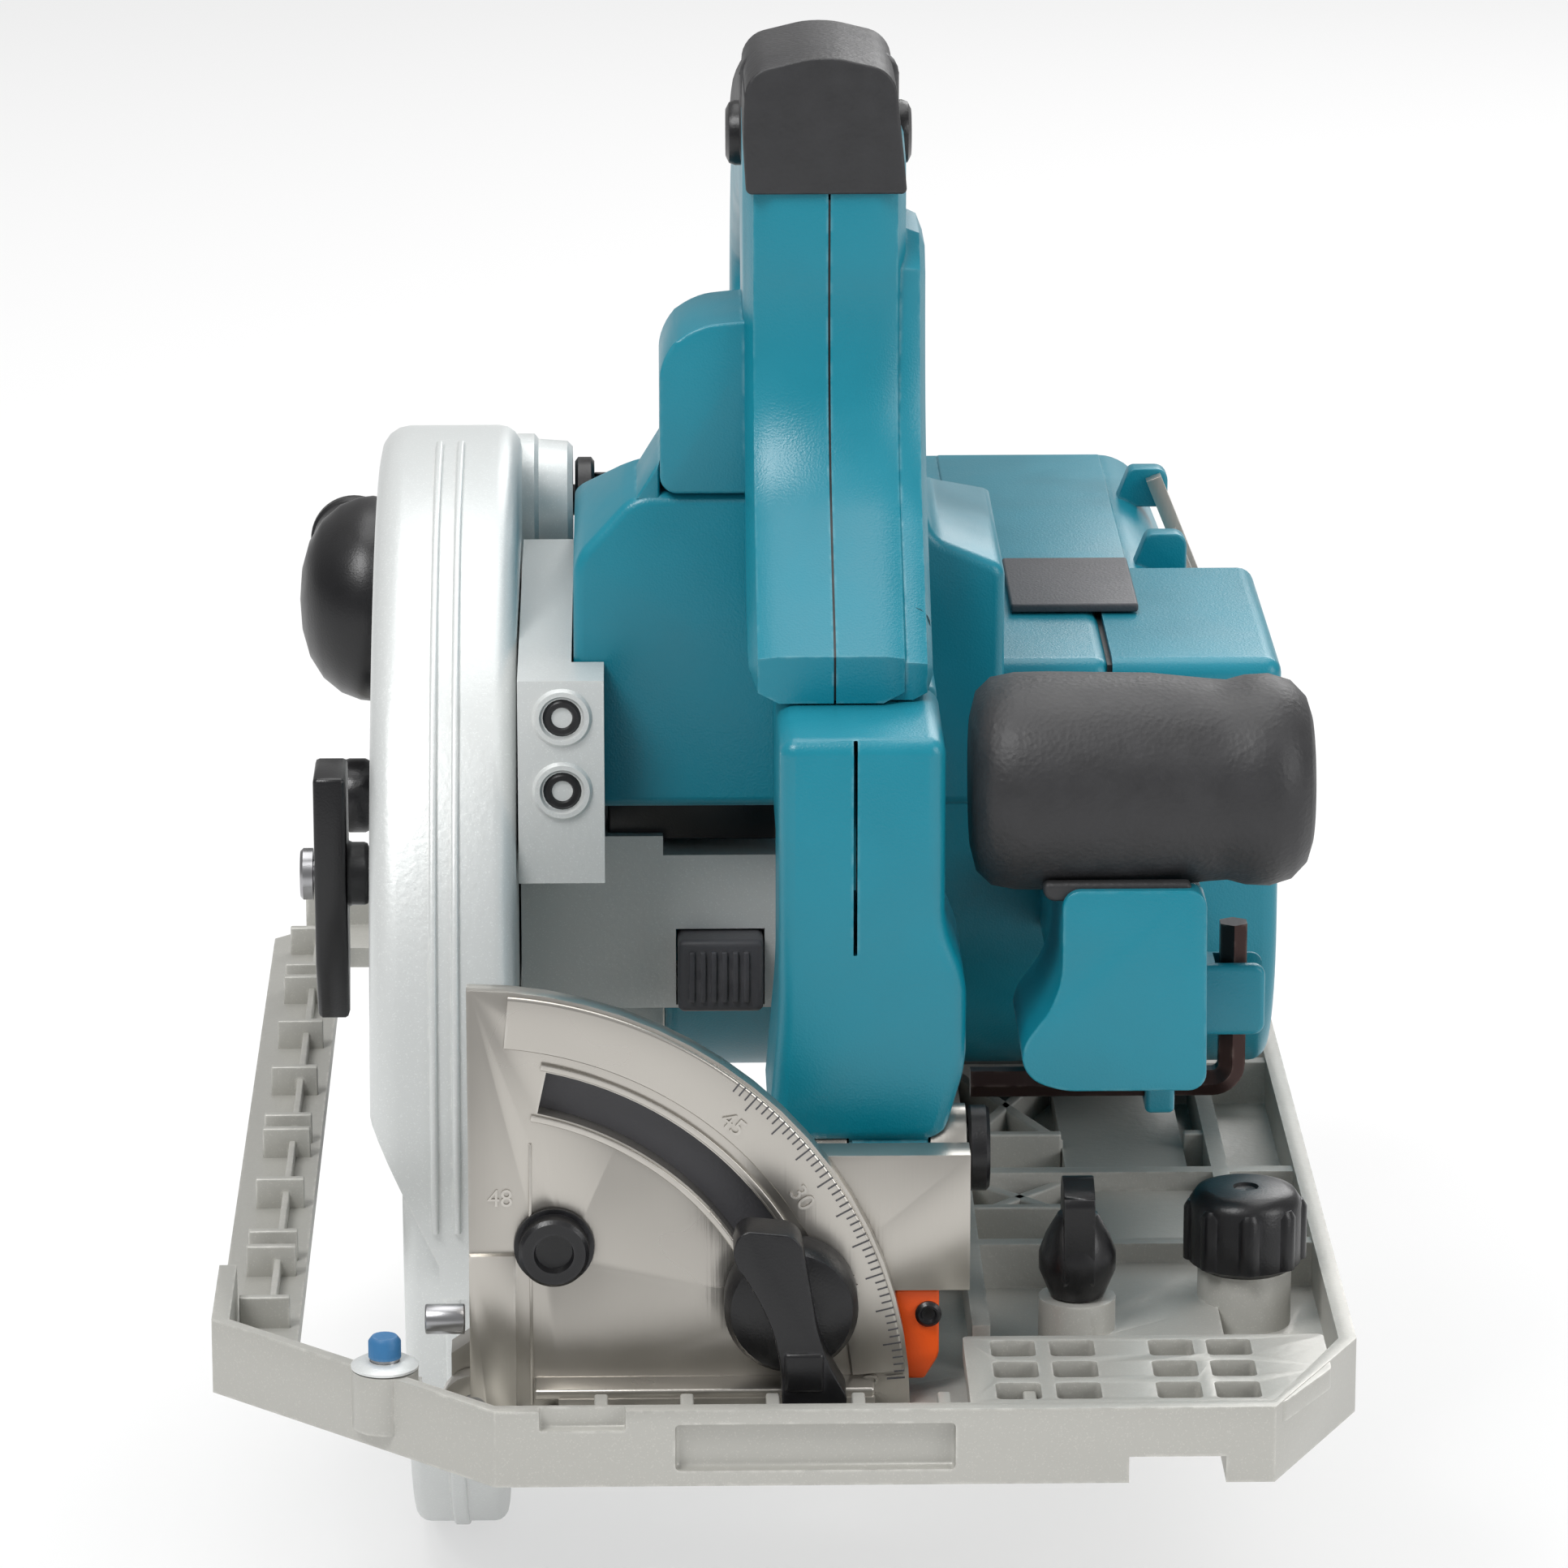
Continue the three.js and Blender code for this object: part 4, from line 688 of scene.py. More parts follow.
class SAW_OT_motor(bpy.types.Operator):
    """Make the motor housing, its end cover and the maker's blank plate"""
    bl_idname = "saw.motor"
    bl_label = "Motor housing"

    def execute(self, context):
        edge = context.scene.saw_sizes.edge
        left, right, front, rear, low, high = span("motor_housing")
        axis_y, axis_z = pivot("rotor_spin")[1:]
        radius = 34.0
        top = 101.1
        tube = [(axis_y - radius, top, 3), (axis_y - radius, low, radius - 0.3), (axis_y + radius, low, radius - 0.3),
                (axis_y + radius, top, 3)]
        drum = slab(tube, "X", -28.6, right, rim=edge, steps=14)
        roof = [(left, 82, 2), (30, 82, 2), (30, 125, 2), (18, 129.9, 2), (15, high, 2), (-34, high, 3),
                (left, 126.5, 3)]
        crown = slab(roof, "Y", front, rear, rim=edge, steps=6)
        fall = [(-46, 170), (-46, high, 4), (rear, 108.5), (rear + 20, 108.5), (rear + 20, 170)]
        crown = carved(crown, slab(fall, "X", left - 10, -15.5), slab(fall, "X", 12, 60))
        fillet = slab([(-33.6, high - 1), (-29.3, high - 1), (-29.3, high + 6)], "Y", front + 0.6, -47, rim=0.5)
        made("motor_shell", together(drum, crown, fillet), "teal_plastic", "motor_housing")
        c0, c1, *_ = span("motor_end_cover")
        cover = slab(tube, "X", c0, c1, rim=4.5, steps=14, rim_steps=5, rims=(False, True))
        vents = [
            block((c1 - 1.4, c1 + 2), (axis_y - 17, axis_y + 17), (axis_z - 22 + 7 * i, axis_z - 19.4 + 7 * i), rim=0.4)
            for i in range(7)]
        made("motor_end_shell", carved(cover, *vents), "teal_plastic", "motor_end_cover")
        made("motor_joint_band", slab(
            [(axis_y - radius + 0.8, top - 1), (axis_y - radius + 0.8, low + 0.8, radius - 1),
             (axis_y + radius - 0.8, low + 0.8, radius - 1), (axis_y + radius - 0.8, top - 1)],
            "X", right - 0.5, c0 + 0.5, steps=14), "black_plastic", body="saw_body")
        x0, x1, y0, y1, z0, z1 = span("name_plate")
        made("blank_plate", block((x0, x1), (y0, y1), (z0, z1), rim=0.5), "grey_plastic", "name_plate")
        return {"FINISHED"}


class SAW_OT_handle(bpy.types.Operator):
    """Make the rear handle's two shells, the rubber grip, the lock-off button and the trigger"""
    bl_idname = "saw.handle"
    bl_label = "Rear handle"

    def execute(self, context):
        sizes = context.scene.saw_sizes
        left, seam_left, *_ = span("handle_left")
        seam, right = seam_left, 11.6
        grip_left = -15.1
        foot = 138.3
        edge = sizes.grip_edge
        sunk = foot - 6
        outer = [(-74, sunk, 6), (-76, 186.5, 6), (-71, 203, 7), (-62, 208.5, 7), (-20, 201, 20),
                 (50, 184, 20), (86, 163.5, 14), (100, 136.5, 12), (100, 98.8, 6), (76, 98.8, 6),
                 (66, 126, 8), (58, sunk, 6)]
        hole = [(-44, foot + 5, 5), (-44, 164.5, 8), (-36, 176.5, 7), (-18, 178.5, 14), (52, 159.5, 14),
                (70, 147.5, 7), (72, foot + 5, 4)]
        shoulder = [(-29.3, foot, 3), (seam - 0.1, foot), (seam - 0.1, 168.5), (-15, 168.5, 3), (-24, 167.5, 4),
                    (-29.3, 162.2, 4)]
        back_foot = [(-52, foot + 0.1), (-72.4, foot + 0.1)]
        post = [(-72.4, 113.4), (-118, 113.4), (-118, 121.4), (-84, 146, 14), (-77.6, 166, 10), (-79, 191),
                (-77, 200), (-60, 204), (-52, 200), *back_foot]
        half = moulding(outer, "X", grip_left, seam, edge, hole, rims=(True, False))
        side = slab(shoulder, "Y", -73, -46.6, rim=2.6)
        front = moulding(post, "X", grip_left + 0.3, seam, edge, rim_steps=2, rims=(True, False))
        made("handle_shell_left", together(half, side, front), "teal_plastic", "handle_left")
        half = moulding(outer, "X", seam + 0.4, right, edge, hole, rims=(False, True))
        front = moulding(post, "X", seam + 0.4, 12.6, edge, rim_steps=2, rims=(False, True))
        wide = [(-72.4, 113.4), (-116, 113.4), (-116, 119.8), (-82, 145, 14), (-75.4, 166, 10), (-75.4, 178),
                (-70, 184), (-52, 184), *back_foot]
        cheek = moulding(wide, "X", 6, 16, 3.4, rim_steps=2, rims=(False, True))
        made("handle_shell_right", together(half, front, cheek), "teal_plastic", "handle_right")
        screw_y, screw_z = -101.2, 123.6
        made("foot_screw_well", lathe(
            [(0.001, screw_y + 2), (3, screw_y + 2), (3.2, screw_y - 5), (2.6, screw_y - 5), (2.4, screw_y + 1),
             (0.001, screw_y + 1)], "Y", 12.6, screw_z, 24), "black_plastic", body="saw_body")
        made("handle_seam", slab(
            [(-72.6, 113.8), (-117.6, 113.8), (-117.6, 121.2), (-83.6, 145.8, 14), (-77.2, 166, 10),
             (-78.6, 190.6), (-60, 196), (-60, foot + 1), (-72.6, foot + 1)],
            "X", seam - 0.1, seam + 0.5), "black_plastic", body="saw_body")
        cap = [(-62, 190), (-62, 213.4, 5), (-20, 205.6, 20), (50, 189.4, 20), (70, 181, 5), (68, 170, 5),
               (50, 176, 18), (-20, 191, 18), (-48, 192, 5)]
        back = moulding(cap, "X", grip_left - 0.3, right + 0.3, 4.4)
        nose = slab(
            [(-14.6, 191.8, 1), (-15.3, 204, 6), (-14.4, 212.6, 3.4), (-1.6, 215.7, 4), (10.4, 212.8, 3.4),
             (11.5, 204, 6), (12.6, 191.8, 1)], "Y", -80, -44, rim=2.4, rim_steps=5)
        made("handle_rubber", together(back, nose), "rubber", "handle_grip")
        x0, x1, y0, y1, z0, z1 = span("lock_off_button")
        y, z, r = (y0 + y1) / 2, (z0 + z1) / 2, (y1 - y0) / 2
        pin = lathe([(0.001, x0), (r - 1.6, x0), (r - 0.4, x0 + 0.6), (r, x0 + 1.6), (r, x1 - 1.6), (r - 0.4, x1 - 0.6),
                     (r - 1.6, x1), (0.001, x1)], "X", y, z)
        made("lock_off_pin", pin, "black_plastic", "lock_off_button")
        made("trigger_lever", softened("trigger", 1.4, 4), "black_plastic", "trigger")
        return {"FINISHED"}


class SAW_OT_front(bpy.types.Operator):
    """Make the front column, the grip's post, the rubber front grip and the hexagon key"""
    bl_idname = "saw.front"
    bl_label = "Front column and grip"

    def execute(self, context):
        edge = context.scene.saw_sizes.edge
        _, _, front, _, _, _ = span("front_column")
        hinge_y, hinge_z = pivot("depth_hinge")[1:]
        column = slab(
            [(-12.2, 42.9, 3), (16.9, 42.9, 3), (20.8, 56.5, 3), (20.8, 71.5, 3), (17.2, 80.5, 3), (17.2, 113, 3),
             (-10.2, 113, 3), (-10.2, 66.3, 4)], "Y", front, -105, rim=edge)
        arm = slab([(-10, 83.5, 2), (17, 83.5, 2), (17, 113, 2), (-10, 113, 2)], "Y", -106, -72.4, rim=edge)
        knuckle = lathe([(0.001, 1.4), (7, 1.4), (7.5, 2), (7.5, 14), (7, 14.6), (0.001, 14.6)], "X", hinge_y, hinge_z)
        left_ear = lathe([(0.001, -40), (8.2, -40), (8.2, 1.4), (0.001, 1.4)], "X", hinge_y, hinge_z)
        right_ear = lathe([(0.001, 14.6), (8.2, 14.6), (8.2, 40), (0.001, 40)], "X", hinge_y, hinge_z)
        back = block((-6, 13), (-130, -90), (77, 106), rim=0)
        column = carved(together(column, arm), left_ear, right_ear, back)
        seam = block((2.0, 2.7), (front - 0.1, -104), (76, 112.6), rim=0.2)
        made("front_column_shell", together(carved(column, seam), knuckle), "teal_plastic", "front_column")

        x0, x1, y0, y1, z0, z1 = span("front_grip")
        y, z, r = (y0 + y1) / 2, (z0 + z1) / 2, (y1 - y0) / 2
        barrel = lathe(
            [(0.001, x0), (r - 7.2, x0), (r - 3.2, x0 + 1.0), (r - 0.9, x0 + 3.4), (r - 0.1, x0 + 7.4), (r, x0 + 13),
             (r - 0.3, x0 + 30), (r - 1.3, x1 - 17), (r - 1.5, x1 - 14), (r - 0.7, x1 - 11), (r - 0.5, x1 - 7),
             (r - 1.6, x1 - 3.4), (r - 4.2, x1 - 0.9), (r - 7, x1), (0.001, x1)], "X", y, z, 64)
        made("front_grip_barrel", barrel, "rubber", "front_grip")
        post_front, post_back = span("grip_post")[2:4]
        head = r + 0.35
        post = slab(
            [(30.2, 59.6, 4), (30.2, 54.5, 3), (36, 51.7, 3), (60.9, 51.7, 3), (60.5, 86.5, 3), (36.7, 86.5, 3),
             (36.7, 68.5, 5)], "Y", -138, -106, rim=edge)
        saddle = lathe([(0.001, 0), (head, 0), (head, 110), (0.001, 110)], "X", y, z, 64)
        motor_y, motor_z = pivot("rotor_spin")[1:]
        drum = lathe([(0.001, 0), (34.4, 0), (34.4, 110), (0.001, 110)], "X", motor_y, motor_z, 64)
        arm = block((38, 60), (-108, motor_y - 20), (51.7, 70.5), rim=1.6)
        tube = slab([(52, 41.5, 1), (57, 41.5, 1), (57, 52.5, 1), (52, 52.5, 1)], "Y", -119.5, -110.5, rim=0.9)
        clip = slab([(58, 55.3, 1), (72, 55.3, 2), (72, 67.7, 2), (58, 67.7, 1)], "Y", -119.5, -110.5, rim=0.9)
        key_y, key_z, key_r, bend = -115, 46, 2.6, 66.8
        bore = lathe([(0.001, 20), (key_r + 0.3, 20), (key_r + 0.3, 80), (0.001, 80)], "X", key_y, key_z, 24)
        channel = block((bend - 3.2, 82), (key_y - 2.9, key_y + 2.9), (36, 80), rim=0)
        post = carved(together(post, arm), saddle, drum)
        post = together(post, carved(together(tube, clip), bore, channel))
        made("grip_post_shell", post, "teal_plastic", "grip_post")
        collar = slab([(33.5, 84.2, 2), (58, 84.2, 2), (58, 87.5, 1), (33.5, 87.5, 1)], "Y", -136.6, -108, rim=0.8)
        made("grip_collar", carved(collar, lathe(
            [(0.001, 0), (head, 0), (head, 110), (0.001, 110)], "X", y, z, 64)), "rubber", body="saw_body")

        k0, k1 = span("hex_key")[:2]
        key_top = span("hex_key")[5]
        bm = bmesh.new()
        bmesh.ops.create_circle(
            bm, cap_ends=True, segments=6, radius=key_r * MM,
            matrix=Matrix.Translation(Vector((k0, key_y, key_z)) * MM) @ Matrix.Rotation(math.pi / 2, 4, "Y"))
        radius = 3.4
        run = bmesh.ops.extrude_face_region(bm, geom=bm.faces[:])
        tip = [item for item in run["geom"] if isinstance(item, bmesh.types.BMVert)]
        bmesh.ops.translate(bm, verts=tip, vec=Vector((bend - radius - k0, 0, 0)) * MM)
        end = [f for f in bm.faces if all(v in tip for v in f.verts)]
        bmesh.ops.spin(
            bm, geom=end + list(end[0].edges) + list(end[0].verts),
            cent=Vector((bend - radius, key_y, key_z + radius)) * MM, axis=(0, -1, 0), angle=math.pi / 2, steps=8,
            use_merge=False, use_duplicate=False)
        end = max(bm.faces, key=lambda f: (f.calc_center_median().z, abs(f.normal.z)))
        up = bmesh.ops.extrude_face_region(bm, geom=[end])
        top = [item for item in up["geom"] if isinstance(item, bmesh.types.BMVert)]
        bmesh.ops.translate(bm, verts=top, vec=Vector((0, 0, key_top - key_z - radius)) * MM)
        bmesh.ops.delete(bm, geom=[end] if end.is_valid else [], context="FACES_ONLY")
        made("hexagon_key", bm, "dark_steel", "hex_key")
        return {"FINISHED"}


class SAW_OT_battery(bpy.types.Operator):
    """Make the battery's deck, the battery, its release button and the wire hook"""
    bl_idname = "saw.battery"
    bl_label = "Battery and deck"

    def execute(self, context):
        edge = context.scene.saw_sizes.edge
        top = 98.0
        front, rear = 22.4, 122
        deck = slab(
            [(2, 76.9), (13.6, 76.9), (13.6, 81.1), (7.7, 81.1), (7.7, 89.8), (60.3, 89.8), (60.3, 81.1),
             (54.4, 81.1), (54.4, 76.9), (68, 76.9, 1), (71, 80.5, 2), (64, top, 6), (-20, top, 2), (-20, 89.8, 1),
             (2, 89.8)], "Y", front, rear, rim=0.8, steps=8)
        wall = block((-20, -15.5), (84, 110), (18.5, 92.5), rim=1.2)
        step = block((26, 58), (front + 1, rear - 2), (top - 0.4, top + 0.5), rim=0.4)
        _, _, hook_y, _ = span("hanging_hook")[:4]
        hinge_x, _, hinge_z = pivot("hook_swing")
        lugs = [
            slab([(hinge_x - 8, hinge_z - 5), (hinge_x + 2.4, hinge_z - 5, 1), (hinge_x + 2.4, hinge_z + 2.6, 2.4),
                  (hinge_x - 5, hinge_z + 2.6, 1)], "Y", y, y + 4.6, rim=0.4) for y in (35, 86.4)]
        made("battery_deck", together(deck, wall, step, *lugs), "teal_plastic", "battery_holder")
        x0, x1, y0, y1, z0, _ = span("battery")
        body = slab(
            [(x0, z0, 6), (x1, z0, 6), (x1, 76, 2), (60, 76), (60, 89.5), (8, 89.5), (8, 76), (x0, 76, 2)],
            "Y", y0, y1, rim=2.2, steps=6)
        pocket = block((24, 44), (110, 130), (64, 96.5), rim=0)
        undercut = [block(x, (0, 130), (81.5 - 6, 81.5 - 0.4), rim=0) for x in ((-10, 13.8), (54.2, 90))]
        rail_end = block((0, 70), (y0 - 1, 36), (76, 100), rim=0)
        shell = carved(body, pocket, rail_end)
        undercut_shell = carved(shell, *[block(x, (0, 130), (76.2, 76.9), rim=0) for x in ((-10, 13.8), (54.2, 90))])
        for item in undercut:
            item.free()
        made("battery_case", undercut_shell, "black_plastic", "battery")
        gauge = block((x0 + 10, x0 + 34), (y1 - 1, y1 + 0.2), (34, 44), rim=0.5)
        made("charge_gauge", gauge, "grey_plastic", body="battery")
        made("battery_release", softened("battery_button", 1.2), "grey_plastic", "battery_button")
        made("wire_hook", softened("hanging_hook", 0.9, 3), "nickel", "hanging_hook")
        return {"FINISHED"}


class SAW_OT_ports(bpy.types.Operator):
    """Make the swivelling dust nozzle, the port's ribbed knob, the case latch and the depth lever"""
    bl_idname = "saw.ports"
    bl_label = "Nozzle, knob, latch and depth lever"

    def execute(self, context):
        x0, x1, y0, y1, z0, z1 = span("dust_nozzle")
        y, z = pivot("nozzle_swivel")[1:]
        face = x0 + 0.0
        dome = lathe(
            [(0.001, face), (6, face + 0.5), (11, face + 1.9), (15, face + 4.4), (17.8, face + 7.8),
             (19.2, face + 11.4), (19.5, face + 14), (19.2, x1 - 3.4), (11, x1 - 2.4), (10.6, x1), (8, x1),
             (8, face + 5), (0.001, face + 3)], "X", y, z, 64)
        pipe_x = ARBOR[0] - 23.2
        pipe = lathe(
            [(5.8, y), (8, y), (8, y1 - 3), (8.5, y1 - 2.4), (8.5, y1 - 0.6), (8, y1), (5.8, y1), (5.8, y)],
            "Y", pipe_x, z)
        made("dust_elbow", together(dome, pipe), "black_plastic", "dust_nozzle")

        k0, k1 = span("port_knob")[:2]
        y, z = pivot("port_knob_turn")[1:]
        shank = span("port_knob")[0]
        ring = lathe(
            [(0.001, shank), (2.9, shank), (2.9, -44.6), (7.2, -44.6), (8, -44), (8, -41.6), (7.2, -41),
             (4.6, -41), (4.6, k1 - 0.8), (3.9, k1), (0.001, k1)], "X", y, z)
        flutes = [
            turned(block((-41, k1 - 0.6), (y + 4.2, y + 5.2), (z - 0.5, z + 0.5), rim=0.2), "X", 30 * i, (0, y, z))
            for i in range(12)]
        made("port_screw_knob", together(ring, *flutes), "black_plastic", "port_knob")
        made("case_latch_lever", softened("case_latch", 0.8), "black_plastic", "case_latch")
        lx0, lx1, ly0, ly1, lz0, lz1 = span("latch_screw")
        ly, lz = (ly0 + ly1) / 2, (lz0 + lz1) / 2
        screw = lathe(
            [(0.001, lx0 + 1.4), (2, lx0 + 1.2), (2.2, lx0), (4, lx0), (4.5, lx0 + 0.5), (4.5, lx0 + 2.2),
             (2.5, lx0 + 2.3), (2.5, lx1), (0.001, lx1)], "X", ly, lz, 32)
        made("latch_pivot_screw", screw, "steel", "latch_screw")
        y, z = pivot("depth_lever_turn")[1:]
        hub = lathe([(0.001, -36), (7.6, -36), (9, -34.6), (9, -28.4), (8.4, -27.6), (3, -27.6), (3, -14), (0.001, -14)],
                    "X", y, z)
        arm = slab([(y - 5, z), (y - 3.4, z + 41, 3), (y + 3.4, z + 41, 3), (y + 5, z)], "X", -36, -30, rim=1.2)
        made("depth_clamp_lever", together(hub, arm), "black_plastic", "depth_lever")
        return {"FINISHED"}


class SAW_OT_brackets(bpy.types.Operator):
    """Make the front bracket, the angle scale with its numbers, the clamp lever and the pointer"""
    bl_idname = "saw.brackets"
    bl_label = "Brackets and angle scale"

    def execute(self, context):
        sizes = context.scene.saw_sizes
        made("tilt_bracket_plate", softened("front_bracket", 0.7), "nickel", "front_bracket")
        bx, _, bz = pivot("bevel_tilt")
        # A thin grey arc behind the slot: painted shade standing in for the shadowed bracket plate seen through it.
        made("slot_painted_shade", arc_band(
            [(-153.95, 31), (-153.95, 63), (-153.6, 63), (-153.6, 31)], (bx, bz), 11, 72, 40, axis="Y"),
            "grey_plastic", body="tilt_bracket")
        made("depth_guide_arc", softened("depth_guide", 0.5), "nickel", "depth_guide")
        hinge_y, hinge_z = pivot("depth_hinge")[1:]
        bolt = lathe(
            [(0.001, -5), (4, -5), (4, 21.4), (6.6, 21.4), (7.2, 21.9), (7.2, 24.4), (6.6, 25), (4, 25), (3.7, 23),
             (0.001, 22.8)], "X", hinge_y, hinge_z)
        made("hinge_bolt", bolt, "black_plastic", "depth_pivot_bolt")
        x0, x1, y0, y1, z0, z1 = span("bevel_pointer")
        tab = slab([(x0, z0, 0.5), (x1 - 2.4, z0, 0.5), (x1, z0 + 4, 1), (x1, z1, 0.6), (x0, z1, 0.6)], "Y", y0, y1,
                   rim=0.5)
        made("angle_pointer", tab, "orange_plastic", "bevel_pointer")
        made("pointer_screw", socket_screw("Y", x1 - 1.8, z0 + 11.5, y0, -1, 2.2, 1.0), "black_plastic",
             body="tilt_bracket")
        made("stud", softened("clamp_stud", 0.3), "steel", "clamp_stud")

        cx, _, cz = pivot("bevel_lever_turn")
        lx0, lx1, ly0, ly1, lz0, lz1 = span("bevel_clamp_lever")
        disc = lathe(
            [(3.1, -158.5), (10.2, -158.5), (11, -159.4), (11, -165), (10, -166.8), (7.5, -167.6), (3.1, -167.6),
             (3.1, -158.5)], "Y", cx, cz)
        swan = slab(
            [(cx - 10, cz + 11.5, 2), (cx - 8.6, cz + 16.4, 2), (cx + 1.2, cz + 15.4, 2.4), (cx + 3, cz + 6, 5),
             (cx + 4.6, cz - 5, 6), (cx + 9.8, cz - 13.6, 2.6), (cx + 6, cz - 17, 2), (cx - 1.6, cz - 15.6, 2),
             (cx - 2, cz - 4, 5), (cx - 6, cz + 6, 5)],
            "Y", ly0, ly0 + 8, rim=2.2, rim_steps=4)
        cap = block((cx - 1.4, cx + 5.2), (ly0 - 0.5, ly0 + 1), (cz - 11.5, cz - 4.6), rim=0.8)
        made("swan_neck_lever", together(disc, swan, cap), "black_plastic", "bevel_clamp_lever")

        bx, _, bz = pivot("bevel_tilt")
        made("angle_plate", softened("quadrant", 0.5), "nickel", "quadrant")
        front = -158.0
        band = arc_band(
            [(front - 0.9, 62.5, 0.3), (front - 0.9, 71.4, 0.6), (front + 0.4, 71.4), (front + 0.4, 62.5)],
            (bx, bz), 5, 80, 72, axis="Y")
        lip = [
            arc_band([(front - 0.7, r, 0.2), (front - 0.7, r + 1.1, 0.2), (front + 0.4, r + 1.1), (front + 0.4, r)],
                     (bx, bz), 15, 64, 60, axis="Y") for r in (50.7, 59.6)]
        made("angle_scale_band", together(band, *lip), "nickel", body="base")
        ticks = []
        for angle in range(0, 49):
            long = 3.0 if angle % 5 == 0 else 1.7
            tick = block((bx + 71.3 - long, bx + 71.3), (front - 1.05, front - 0.6), (bz - 0.11, bz + 0.11), rim=0)
            ticks.append(turned(tick, "Y", -(ZERO_MARK + angle), (bx, 0, bz)))
        made("scale_ticks", together(*ticks), "grey_plastic", body="base")
        fence = block((bx + 9.3, bx + 9.8), (front - 0.35, front + 0.3), (4.6, 50), rim=0.1)
        step = block((bx + 10, 5), (front - 6.4, front + 0.2), (7.6, 9.4), rim=0.5)
        made("angle_plate_lines", together(fence, step), "nickel", body="base")
        marks = [(str(n), bx + 65.2 * math.cos(math.radians(n + ZERO_MARK)),
                  bz + 65.2 * math.sin(math.radians(n + ZERO_MARK)), 90 - n - ZERO_MARK) for n in (0, 15, 30, 45)]
        marks += [("48", bx + 4.6, 40.5, 0), ("45", bx + 4.6, 15.1, 0)]
        for i, (number, x, z, tilt) in enumerate(marks):
            curve = bpy.data.curves.new("number", "FONT")
            curve.body = number
            curve.size = sizes.numeral * MM
            curve.extrude = 0.3 * MM
            curve.align_x = "CENTER"
            curve.align_y = "CENTER"
            text = bpy.data.objects.new("number", curve)
            bpy.context.scene.collection.objects.link(text)
            shape = bpy.data.meshes.new_from_object(text.evaluated_get(bpy.context.evaluated_depsgraph_get()))
            numeral = bmesh.new()
            numeral.from_mesh(shape)
            bpy.data.meshes.remove(shape)
            bpy.data.objects.remove(text)
            bpy.data.curves.remove(curve)
            upright = Matrix.Rotation(math.pi / 2, 4, "X")
            lean = Matrix.Rotation(math.radians(tilt), 4, "Y")
            raised = front - 1.0 if i < 4 else front - 0.1
            place = Vector((x, raised, z)) * MM
            bmesh.ops.transform(numeral, matrix=Matrix.Translation(place) @ lean @ upright, verts=numeral.verts[:])
            made(f"scale_number_{i}", numeral, "nickel", body="base")
        x0, x1, y0, y1, z0, z1 = span("quadrant_bolt")
        qx, qz = (x0 + x1) / 2, (z0 + z1) / 2
        bolt = lathe(
            [(0.001, y0 + 2), (3, y0 + 1.8), (3.3, y0), (5.2, y0), (5.8, y0 + 0.6), (5.8, -158.9), (6.6, -158.9),
             (6.6, -158.35), (2.5, -158.35), (2.5, y1), (0.001, y1)], "Y", qx, qz)
        made("angle_plate_bolt", bolt, "black_plastic", "quadrant_bolt")
        made("square_stop", softened("stop_peg", 0.3), "steel", "stop_peg")
        return {"FINISHED"}


